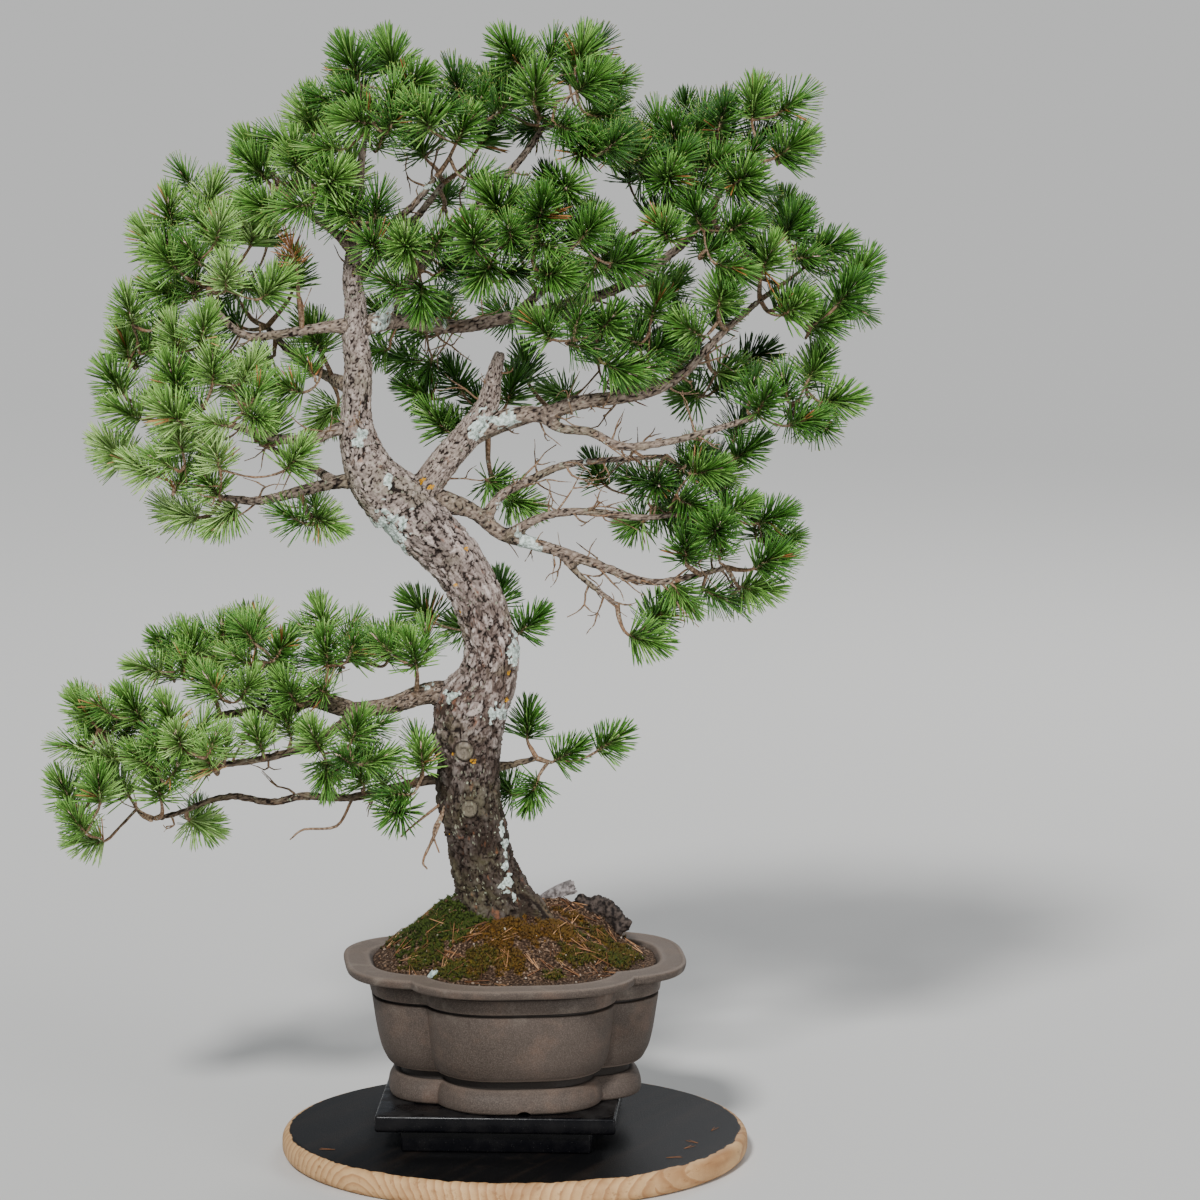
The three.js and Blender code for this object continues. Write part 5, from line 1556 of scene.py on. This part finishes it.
def bark_finish():
    finish = Finish("pine_bark", 0.9, 0.25)
    squeezed = finish.stretched(finish.marked("bark_place", "Vector"), 1.0, 1.0, 0.45)
    up = finish.parts(finish.spot)[2]
    fine = finish.noise(squeezed, 420, 7)
    tone = finish.plus(finish.times(finish.marked("plate"), 0.5), finish.times(fine, 0.5))
    plates = finish.ramp(tone, PLATES)
    # Painted light: the bark is mixed paler and pinker higher up the tree
    plates = finish.mix(finish.steps(up, 0.5, 0.68, 0.0, 0.3), plates, (210, 196, 188))
    # Darker towards the soil: partly the bark's own colour, partly painted shade under the foliage
    plates = finish.mix(finish.steps(up, 0.34, 0.52, 0.88, 0.0), plates, (36, 28, 19))
    plates = finish.over(plates, finish.blotches(110, 0.64, 0.05, squeezed), 0.6, (134, 84, 56))
    slim = finish.steps(finish.marked("girth"), 0.3, 0.62, 0.62, 0.0)
    plates = finish.mix(slim, plates, finish.ramp(fine, SLIM_BARK))
    greenish = finish.steps(finish.noise(finish.spot, 22), 0.5, 0.66, 0.0, 0.35)
    plates = finish.mix(greenish, plates, (98, 96, 66))
    crack = finish.math("MAXIMUM", finish.marked("fissure"), finish.steps(fine, 0.42, 0.32, 0.0, 0.7))
    # The fissures darken in two steps: partly their own dark colour, partly painted shade in their depth
    bark = finish.over(plates, finish.steps(crack, 0.25, 0.75), 0.5, (62, 47, 40))
    bark = finish.mix(finish.steps(crack, 0.58, 0.86), bark, (28, 20, 15))
    bark = finish.over(bark, finish.marked("scar"), 0.45, (132, 124, 106))
    patchy = finish.blotches(17, 0.5, 0.1)
    crusts = finish.times(finish.blotches(150, 0.66, 0.02), finish.steps(patchy, 0.0, 1.0, 0.25, 0.85))
    bark = finish.over(bark, crusts, 0.9, (176, 184, 158))
    grains = finish.dots(460, 0.36, 0.2, squeezed)
    bark = finish.over(bark, grains, finish.steps(patchy, 0.3, 1.0, 0.0, 0.4), (168, 170, 146))
    torn = finish.steps(finish.noise(finish.spot, 520, 3), 0.4, 0.5)
    bark = finish.over(bark, finish.steps(finish.marked("gold"), 0.4, 0.7), torn, (196, 140, 20))
    crust = finish.ramp(finish.noise(finish.spot, 300), LICHEN_CRUST)
    finish.relief(finish.math("SUBTRACT", fine, finish.times(crack, 0.6)), 1.6)
    return finish.done(finish.mix(finish.steps(finish.marked("lichen"), 0.3, 0.7), bark, crust))


bark = bark_finish()
hand_over(heavy_wood, "heavy_wood", "bark", bark, "trunk")
hand_over(slim_wood, "slim_limbs", "bark", bark, "trunk")

# %% [markdown]
# ## How a spray grows
#
# A pine's foliage is tufts of needles at the ends of twigs. The middles of the main tufts are
# known. A twig to each starts at the nearest wood that is already there, either the limb or an
# earlier twig, and turns up at its end as shoots do towards the light. Weaker side tufts grow on
# those twigs and fill the foliage behind. Each weaker tuft is held inside the model's box.

# %% Twigs and tufts
TREE_MIDDLE_X = -60
TUFT_REACH = 38
SHOOT_LENGTH = 24

# Weaker tufts: how far behind a main one they stand, and how much room each needs
FILL_DEPTH = 34
FILL_SPACING = 27

# The share of main tufts that get a weaker one behind them, and one beside them
FILLED = {"crown": 0.95, "right": 0.85, "left": 0.45, "pad": 0.8, "low": 0.3}
BESIDE = {"crown": 0.15, "left": 0.3, "pad": 0.9, "low": 0.4}

# Two tufts that stand this far apart may get a weaker one between them
BETWEEN = (40, 86)

# How big the tufts of each part of the tree are
VIGOUR = {
    "crown": 1.0, "right": 0.9, "left": 0.92, "pad": 0.84, "low": 0.86, "back": 0.88, "behind": 0.84,
    "trunk": 0.84,
}

box_low = np.array([cad_low.x, cad_low.y, cad_low.z - BOARD_TOP]) / MM + TUFT_REACH
box_high = np.array([cad_high.x, cad_high.y, cad_high.z - BOARD_TOP]) / MM - TUFT_REACH


def unit(vector):
    return vector / max(np.linalg.norm(vector), 1e-9)


def part_of(name):
    """The part of the tree, such as the crown, that a spray's name starts with."""
    return name.split("_")[0]


def rounded_tufts(middle, half_size, count):
    """Tufts spread evenly over a rounded mass by the golden angle."""
    made = []
    for i in range(count):
        rise = 0.95 - 1.55 * (i + 0.5) / count
        angle = (i + 0.4) * GOLDEN_ANGLE
        out = math.sqrt(1 - rise * rise)
        way = (out * math.cos(angle), out * math.sin(angle), rise)
        made.append(np.array(middle) + np.array(half_size) * way)
    return made


def shoot_to(root, tuft, radius, kind):
    """A twig that leaves its root and ends in a tuft, turned up and away from the trunk."""
    away = unit(np.array([tuft[0] - TREE_MIDDLE_X, 0.5 * tuft[1], 0]))
    flatter = np.array([1, dice.uniform(0.1, 0.75), 1])
    axis = unit(unit(tuft - root) * flatter + 0.35 * away + np.array([0, 0, 0.6]))
    base = tuft - axis * SHOOT_LENGTH * 0.5
    bend = (root + base) / 2 + 0.12 * np.linalg.norm(base - root) * (unit(base - root) - axis)
    wobble = dice.normal(0, 1.6, 3)
    tip = base + axis * SHOOT_LENGTH
    line = [[*root, radius * 1.25], [*(bend + wobble), radius], [*base, 1.5], [*tip, 1.1]]
    return {"line": smooth_line(line, 3), "base": base, "axis": axis, "tuft": tuft, "kind": kind}


def grow(limb, tufts):
    """The main shoots of one spray, the nearest tufts first, and the wood that they leave."""
    line = WOOD_LINES[limb]
    wood = [(point[:3], point[3]) for point in line[4:]]
    middle = np.mean(tufts, axis=0)
    shoots = []
    for tuft in sorted(tufts, key=lambda t: np.linalg.norm(t - line[-1, :3])):
        reach = [np.linalg.norm(at - tuft) + 0.25 * np.linalg.norm(at - middle) for at, _ in wood]
        root, thick = wood[int(np.argmin(reach))]
        shoots.append(shoot_to(root, tuft, min(2.3, thick * 0.7), "main"))
        wood += [(point[:3], point[3]) for point in shoots[-1]["line"][3:7]]
    return shoots, wood


def behind_and_beside(main):
    """Wishes for weaker tufts beside and behind the main ones."""
    for tuft, name in main:
        if dice.random() < BESIDE.get(part_of(name), 0):
            inward = dice.uniform(24, 34) * np.sign(np.mean([t[0] for t, n in main if n == name]) - tuft[0])
            yield tuft + np.array([inward, dice.normal(-8, 8), dice.normal(2, 9)]), name
        if dice.random() <= FILLED.get(part_of(name), 0):
            back = FILL_DEPTH + dice.normal(0, 6)
            yield tuft + np.array([dice.normal(0, 11), back, dice.normal(-4, 8)]), name


def between(main):
    """Wishes for weaker tufts between two that belong together."""
    for i, (first, name) in enumerate(main):
        for second, other in main[i + 1:]:
            near = BETWEEN[0] < np.linalg.norm(first - second) < BETWEEN[1]
            together = name == other or ("crown" in name and "crown" in other)
            if near and together and dice.random() < FILLED.get(part_of(name), 0):
                sway = np.array([dice.normal(0, 4), dice.uniform(-8, 20), dice.normal(-3, 5)])
                yield (first + second) / 2 + sway, name


def fill_out(sprays):
    """Grows the weaker tufts that are wished for, wherever there is room for one."""
    main = [(shoot["tuft"], name) for name, (shoots, _) in sprays.items() for shoot in shoots]
    taken = [tuft for tuft, _ in main]
    for wish, name in [*behind_and_beside(main), *between(main)]:
        tuft = np.clip(wish, box_low, box_high)
        room = FILL_SPACING * VIGOUR[part_of(name)]
        if np.linalg.norm(np.array(taken) - tuft, axis=1).min() < room:
            continue
        shoots, wood = sprays[name]
        root = min((point for point, _ in wood), key=lambda point: np.linalg.norm(point - tuft))
        shoots.append(shoot_to(root, tuft, 1.6, "side"))
        taken.append(tuft)


# Small inner tufts that the model leaves out, seen through the gaps between the limbs
INNER_SPRAYS = {
    "behind_leader": (
        "crown_right", (-124, 52, 806), (-96, 62, 794), (-136, 60, 774), (-106, 70, 764), (-68, 58, 802),
        (-84, 64, 758),
    ),
    "behind_fork": (
        "back_right", (-74, 44, 704), (-54, 54, 696), (-20, 60, 640), (2, 62, 622), (-56, 60, 742),
        (-92, 66, 730), (-4, 60, 732), (-30, 66, 716),
    ),
    "behind_crown": (
        "back_middle", (-88, 60, 872), (-42, 66, 848), (8, 60, 876), (46, 72, 842), (96, 60, 858),
        (142, 64, 842), (62, 58, 806), (-8, 76, 806),
    ),
    "behind_limbs": (
        "right_inner", (85, 66, 648), (128, 60, 642), (146, 54, 612), (172, 60, 594), (122, 68, 600),
        (174, 54, 664),
    ),
}
SPRAYS = {}
for name, (limb, *tufts) in {**FRONT_SPRAYS, **INNER_SPRAYS}.items():
    SPRAYS[name] = limb, [np.array(tuft, float) for tuft in tufts]
for name, (limb, *mass) in BACK_SPRAYS.items():
    SPRAYS[name] = limb, rounded_tufts(*mass, BACK_TUFTS)
grown_sprays = {name: grow(limb, tufts) for name, (limb, tufts) in SPRAYS.items()}
fill_out(grown_sprays)
spray_shoots = {name: shoots for name, (shoots, _) in grown_sprays.items()}
print("sprays:", len(spray_shoots), "tufts:", sum(len(shoots) for shoots in spray_shoots.values()))

# %% [markdown]
# ## Twigs, bare twiglets and buds
#
# Twigs are slim tubes, rough with the scars of old needles. Under the right-hand limbs many fine
# twigs have lost their needles in the shade, and a few dead ones hang from the lower trunk. A
# pale, pointed bud closes each shoot, which is what makes the middle of a tuft look light.

# %% Twig lines
TWIG_SCARS = {"size": 2.2, "height": 0.45}
TWIG_BARK = {0.3: (66, 50, 38), 0.5: (120, 98, 78), 0.72: (176, 152, 128)}

# Points of the dead twigs low on the trunk: x, y, height and radius
DEAD_TWIGS = [
    [(-64, -16, 342, 2.0), (-78, -20, 303, 1.7), (-90, -22, 276, 1.3), (-86, -26, 268, 0.8)],
    [(-72, -18, 322, 1.5), (-80, -22, 304, 1.1), (-74, -24, 284, 0.7)],
    [(-160, -10, 336, 1.6), (-176, -14, 309, 1.4), (-208, -16, 306, 1.1), (-222, -18, 296, 0.7)],
    [(-74, -12, 330, 1.6), (-98, -18, 312, 1.2), (-112, -24, 300, 0.8)],
]

# How many bare twigs grow on each limb
BARE_TWIGS = {
    "right_lower": 18, "right_inner": 14, "right_fan": 14, "right_middle": 12, "right_upper": 10,
    "crown_right": 14, "heavy_right": 4, "low_left": 6, "low_left_under": 7, "low_left_lower": 6,
    "left_mid": 6, "left_fan": 6, "left_upper": 6, "crown_side": 8, "leader": 4, "right_droop": 5,
    "crown_front": 4, "back_right": 5,
}


def zigzag(start, way, length, radius):
    """A thin twig that changes its way at every step and ends in a point."""
    here, made = np.array(start), [[*start, radius * 1.15]]
    for step in (1, 2, 3, 4):
        way = unit(way + dice.normal(0, 0.28, 3) + np.array([0, 0, 0.06]))
        here = here + way * length / 4
        made.append([*here, radius * (1 - 0.18 * step)])
    return smooth_line(made, 2)


def bare_twig(limb):
    """A forked twig from a random place on a limb, mostly along it, downwards or sideways."""
    line = WOOD_LINES[limb]
    at = dice.integers(8, len(line) - 1)
    along = unit(line[at, :3] - line[at - 1, :3])
    way = unit(0.5 * along + np.array([dice.normal(0, 0.5), dice.normal(0, 0.6), dice.normal(-0.2, 0.6)]))
    length = dice.uniform(22, 66)
    twig = zigzag(line[at, :3], way, length, 1.3)
    fork = zigzag(twig[4, :3], unit(way + dice.normal(0, 0.6, 3)), length * 0.5, 0.9)
    return [twig, fork]


twig_lines = [shoot["line"] for shoots in spray_shoots.values() for shoot in shoots]
twig_lines += [smooth_line(line, 5) for line in DEAD_TWIGS]
twig_lines += [part for limb, count in BARE_TWIGS.items() for _ in range(count) for part in bare_twig(limb)]
twigs = tubes(twig_lines, around=1)
raise_surface(twigs, noise_at(corners_of(twigs), TWIG_SCARS["size"]) * TWIG_SCARS["height"])
smooth_by_angle(twigs, 70)


def twig_finish():
    finish = Finish("twig_bark", 0.8, 0.3)
    rough = finish.noise(finish.spot, 420)
    bark = finish.over(finish.ramp(rough, TWIG_BARK), finish.blotches(40, 0.54, 0.1), 0.5, (148, 108, 76))
    finish.relief(rough, 0.8)
    return finish.done(finish.over(bark, finish.dots(260, 0.32, 0.16), 0.6, (184, 192, 176)))


hand_over(twigs, "twigs", "bark", twig_finish())

# %% Buds
BUD_COLOURS = {0.3: (156, 104, 84), 0.5: (220, 186, 170), 0.7: (246, 230, 222)}


def bud():
    """A short pointed bud."""
    start_fresh()
    bpy.ops.mesh.primitive_cone_add(
        vertices=5, radius1=1.4 * MM, radius2=2.1 * MM, depth=3.6 * MM, location=(0, 0, 1.8 * MM)
    )
    return draw_to_point(settle(bpy.context.object), 7.5)


bud_matrices = []
for shoot in sum(spray_shoots.values(), []):
    tip = shoot["base"] + shoot["axis"] * (SHOOT_LENGTH - 1)
    for angle, lean, size in ((0, 0, 1.0), (0.5, 0.8, 0.6)):
        side = unit(np.cross(shoot["axis"], [math.cos(angle), math.sin(angle), 0.3]))
        way = unit(shoot["axis"] + lean * side)
        spin = dice.random() * ANY_TURN
        bud_matrices.append(placed(place(*tip), way, spin, size * dice.uniform(0.8, 1.15)))


def bud_finish():
    finish = Finish("resin_buds", 0.55, 0.4)
    scales = finish.noise(finish.spot, 700, 3)
    finish.relief(scales, 0.3)
    return finish.done(finish.ramp(scales, BUD_COLOURS))


hand_over(copies_of(bud(), bud_matrices), "buds", "needles", bud_finish())

# %% [markdown]
# ## Tufts of needles
#
# Scots pine needles grow in pairs, set round the shoot by the golden angle. At the shoot's foot
# they stand straight out, at its tip they point forward, so a tuft looks like a brush. Each
# spray is one mesh of copied pairs and stands for its node. The place along a needle, and a tone
# for each pair, are stored: needles are pale at the root, and every tuft has a few dead ones. The
# tone is partly random and partly painted light and shade: lighter at the lit left, darker to the
# right and behind.

# %% Needles on every shoot
PAIRS = {"main": 62, "side": 50}
LEAN = {"foot": math.radians(78), "tip": math.radians(10)}
NEEDLE_SIZE = {"main": (0.96, 1.06), "side": (0.88, 1.0)}
DEAD_SHARE = 0.007
DEAD_TUFT = {"pairs": 22, "size": (0.55, 0.8)}

# How light the needles are: painted light makes them yellow-green at the lit left side, painted shade makes
# them deeper to the right and behind
SUNLIT = {"x": -350, "height": 660, "reach": 110}
LIGHT_LEFT = -300
DARK_RIGHT = 0


def tuft_shade(tuft, kind):
    """How light a tuft is, from its place and its kind: painted light at the lit left, painted shade to the
    right and behind, and darker for side tufts.
    """
    x, depth, height = tuft
    from_sunlit = math.hypot(x - SUNLIT["x"], height - SUNLIT["height"]) / SUNLIT["reach"]
    # Painted light at the lit left and round the sunlit spot, painted shade towards the right
    shade = 0.47 + 0.15 * float(eased(-x, -DARK_RIGHT, -LIGHT_LEFT)) + 0.14 * math.exp(-from_sunlit ** 2)
    shade -= 0.1 * (kind == "side")
    # Random tone, and painted shade that grows with the tuft's depth behind the front
    return shade + (dice.normal(0, 0.06) - 0.12 * float(eased(depth, 20, 100)))


def needle_places(shoot, vigour, withered):
    """A matrix, a tone and a dead or live mark for each pair of needles on a shoot."""
    count, sizes = PAIRS[shoot["kind"]], NEEDLE_SIZE[shoot["kind"]]
    if withered:
        count, sizes = DEAD_TUFT["pairs"], DEAD_TUFT["size"]
    axis, base = Vector(shoot["axis"]), shoot["base"]
    side = axis.orthogonal().normalized()
    across = axis.cross(side)
    shade = tuft_shade(shoot["tuft"], shoot["kind"])
    tuft_size = dice.uniform(0.9, 1.08) * vigour
    matrices, tones, dead = [], [], []
    for i in range(count):
        share = (i + dice.uniform(0, 0.8)) / count
        angle = i * GOLDEN_ANGLE + dice.normal(0, 0.12)
        lean = LEAN["foot"] + (LEAN["tip"] - LEAN["foot"]) * share ** 1.3 + dice.normal(0, 0.1)
        outward = side * math.cos(angle) + across * math.sin(angle)
        way = outward * math.sin(lean) + axis * math.cos(lean)
        start = place(*(base + np.array(axis) * SHOOT_LENGTH * share))
        size = tuft_size * dice.uniform(*sizes) * (1 - 0.08 * share)
        matrices.append(placed(start, way, dice.uniform(0, math.pi), size))
        tones.append(shade + dice.normal(0, 0.09))
        dead.append(float(dice.random() < DEAD_SHARE * (2.4 - 2 * share)))
    return matrices, tones, dead


GREEN = {0.25: (32, 74, 16), 0.5: (76, 130, 42), 0.72: (134, 182, 84), 0.95: (204, 232, 156)}
BROWN = {0.3: (128, 74, 36), 0.6: (186, 124, 68), 0.9: (222, 178, 120)}


def needle_finish(name, roughness, dead_all=False):
    finish = Finish(name, roughness, 0.45)
    along = finish.marked("along")
    tone = finish.plus(finish.marked("tone"), finish.times(finish.noise(finish.spot, 120, 2), 0.12))
    green = finish.ramp(tone, GREEN)
    green = finish.mix(finish.steps(along, 0.0, 0.2, 0.5, 0.0), green, (190, 196, 130))
    green = finish.mix(finish.steps(along, 0.92, 1.0, 0.0, 0.4), green, (200, 190, 110))
    finish.set("Roughness", finish.steps(along, 0.0, 1.0, 0.58, 0.42))
    finish.relief(finish.noise(finish.spot, 1600, 1), 0.06)
    withered = 1.0 if dead_all else finish.marked("dead")
    return finish.done(finish.mix(withered, green, finish.ramp(tone, BROWN)))


def needles_on(shoots, kind, vigour, withered):
    """One mesh with all the needles of the shoots of a kind, or none where there are no such shoots."""
    grown = [needle_places(shoot, vigour, withered) for shoot in shoots if shoot["kind"] == kind]
    if not grown:
        return None
    matrices, tones, dead = (np.array(sum(parts, [])) for parts in zip(*grown))
    form = needle_pair(pointed=kind == "main")
    along = {"along": np.clip(corners_of(form)[:, 2] / (NEEDLE["length"] * MM), 0, 1)}
    return copies_of(form, matrices, along, tone=tones, dead=dead)


green_needles = needle_finish("green_needles", 0.5)
withered_needles = needle_finish("withered_needles", 0.65, dead_all=True)
needle_total = 0
for name, shoots in spray_shoots.items():
    withered = name == "left_dead_tuft"
    vigour = VIGOUR[name.split("_")[0]]
    made = [needles_on(shoots[:1] if withered else shoots, kind, vigour, withered) for kind in PAIRS]
    made = [part for part in made if part]
    start_fresh()
    for part in made:
        part.select_set(True)
    bpy.context.view_layer.objects.active = made[0]
    bpy.ops.object.join()
    spray = bpy.context.object
    finish, slot = (withered_needles, "dead_needles") if withered else (green_needles, "needles")
    stands_for = [] if name in INNER_SPRAYS else [f"spray_{name}"]
    hand_over(spray, f"needles_{name}", slot, finish, *stands_for)
    needle_total += triangles_of(spray)
print("triangles of needles in all:", needle_total)

# %% [markdown]
# ## The old root and the chips
#
# Behind the trunk lies a gnarled piece of old root, weathered to grey, and beside it a chip of
# split wood. A small pale chip of stone lies in front, at the left. The root is a tube with two
# knobs, melted together and then knotted by noise. The chips are cube primitives, subdivided
# and broken along their grain.

# %% A gnarled root
OLD_ROOT_VOXEL = 1.2
OLD_ROOT_KNOTS = 4.2
OLD_ROOT_KNOBS = [
    [(71, 53, 214, 9), (67, 47, 222, 6), (64, 43, 226, 3)],
    [(91, 42, 214, 9), (95, 36, 220, 6), (98, 32, 222, 3)],
]
FIBRES = (300, 60, 300)

old_root = tubes([smooth_line(OLD_ROOT), *OLD_ROOT_KNOBS], around=5)
apply_modifier(old_root, "REMESH", mode="VOXEL", voxel_size=OLD_ROOT_VOXEL * MM)
root_points = corners_of(old_root)
fibres = np.array([abs(noise.noise(Vector(point * FIBRES))) for point in root_points])
raise_surface(old_root, (noise_at(root_points, 9) - 0.6 * fibres) * OLD_ROOT_KNOTS)
apply_modifier(old_root, "SMOOTH", factor=0.4, iterations=1)
old_root.data.shade_smooth()


def old_wood_finish(name, dark, light, grain_scale):
    finish = Finish(name, 0.9, 0.25)
    grain = finish.noise(finish.stretched(finish.spot, 1.0, 0.25, 1.0), grain_scale, 5)
    wood = finish.mix(finish.steps(grain, 0.35, 0.65), dark, light)
    finish.relief(grain, 1.2)
    return finish.done(finish.over(wood, finish.blotches(60, 0.56, 0.1), 0.5, (46, 36, 30)))


root_finish = old_wood_finish("weathered_root", (22, 17, 16), (78, 68, 62), 260)
hand_over(old_root, "old_root_wood", "dead_wood", root_finish, "old_root")

# %% Two chips
CHIP = {"size": (42, 18, 13), "at": (42, 40, 231), "lean": -0.3, "turn": 0.2}
PALE_CHIP = {"size": (15, 10, 5), "lean": -0.5, "turn": 0.6}
PALE_CHIP_AT = (-80, -92)


def broken_chip(size, at, lean, turn):
    """A wedge whose ends are split along the grain."""
    start_fresh()
    bpy.ops.mesh.primitive_cube_add(size=1)
    chip = bpy.context.object
    chip.scale = [length * MM for length in size]
    settle(chip)
    bpy.ops.object.mode_set(mode="EDIT")
    bpy.ops.mesh.select_all(action="SELECT")
    bpy.ops.mesh.subdivide(number_cuts=11)
    bpy.ops.object.mode_set(mode="OBJECT")
    points = corners_of(chip)
    half_length = size[0] * MM / 2
    end = np.abs(points[:, 0]) / half_length
    split = np.array([noise.noise(Vector((4 * np.sign(p[0]), p[1] * 480, p[2] * 300))) for p in points])
    points[:, 0] *= 1 - end ** 3 * (0.22 + 0.3 * split)
    points[:, 1] *= 1 - 0.3 * end ** 2
    thinner = 0.65 + 0.35 * points[:, 0] / half_length
    points[:, 1:] *= thinner[:, None]
    points[:, 2] += [0.9 * MM * noise.noise(Vector((p[0] * 60, p[1] * 260, 2))) for p in points]
    move_corners(chip, points)
    chip.rotation_euler = (0.1, lean, turn)
    chip.location = place(*at)
    settle(chip)
    return smooth_by_angle(chip, 45)


chip_finish = old_wood_finish("pale_chip_wood", (88, 82, 80), (158, 150, 148), 240)
hand_over(broken_chip(**CHIP), "wood_chip_split", "dead_wood", chip_finish, "wood_chip")
on_soil = (*PALE_CHIP_AT, ground_height(*PALE_CHIP_AT) + 1.5)
mineral_finish = old_wood_finish("pale_mineral", (168, 190, 184), (214, 228, 222), 300)
hand_over(broken_chip(**PALE_CHIP, at=on_soil), "mineral_chip", "dead_wood", mineral_finish)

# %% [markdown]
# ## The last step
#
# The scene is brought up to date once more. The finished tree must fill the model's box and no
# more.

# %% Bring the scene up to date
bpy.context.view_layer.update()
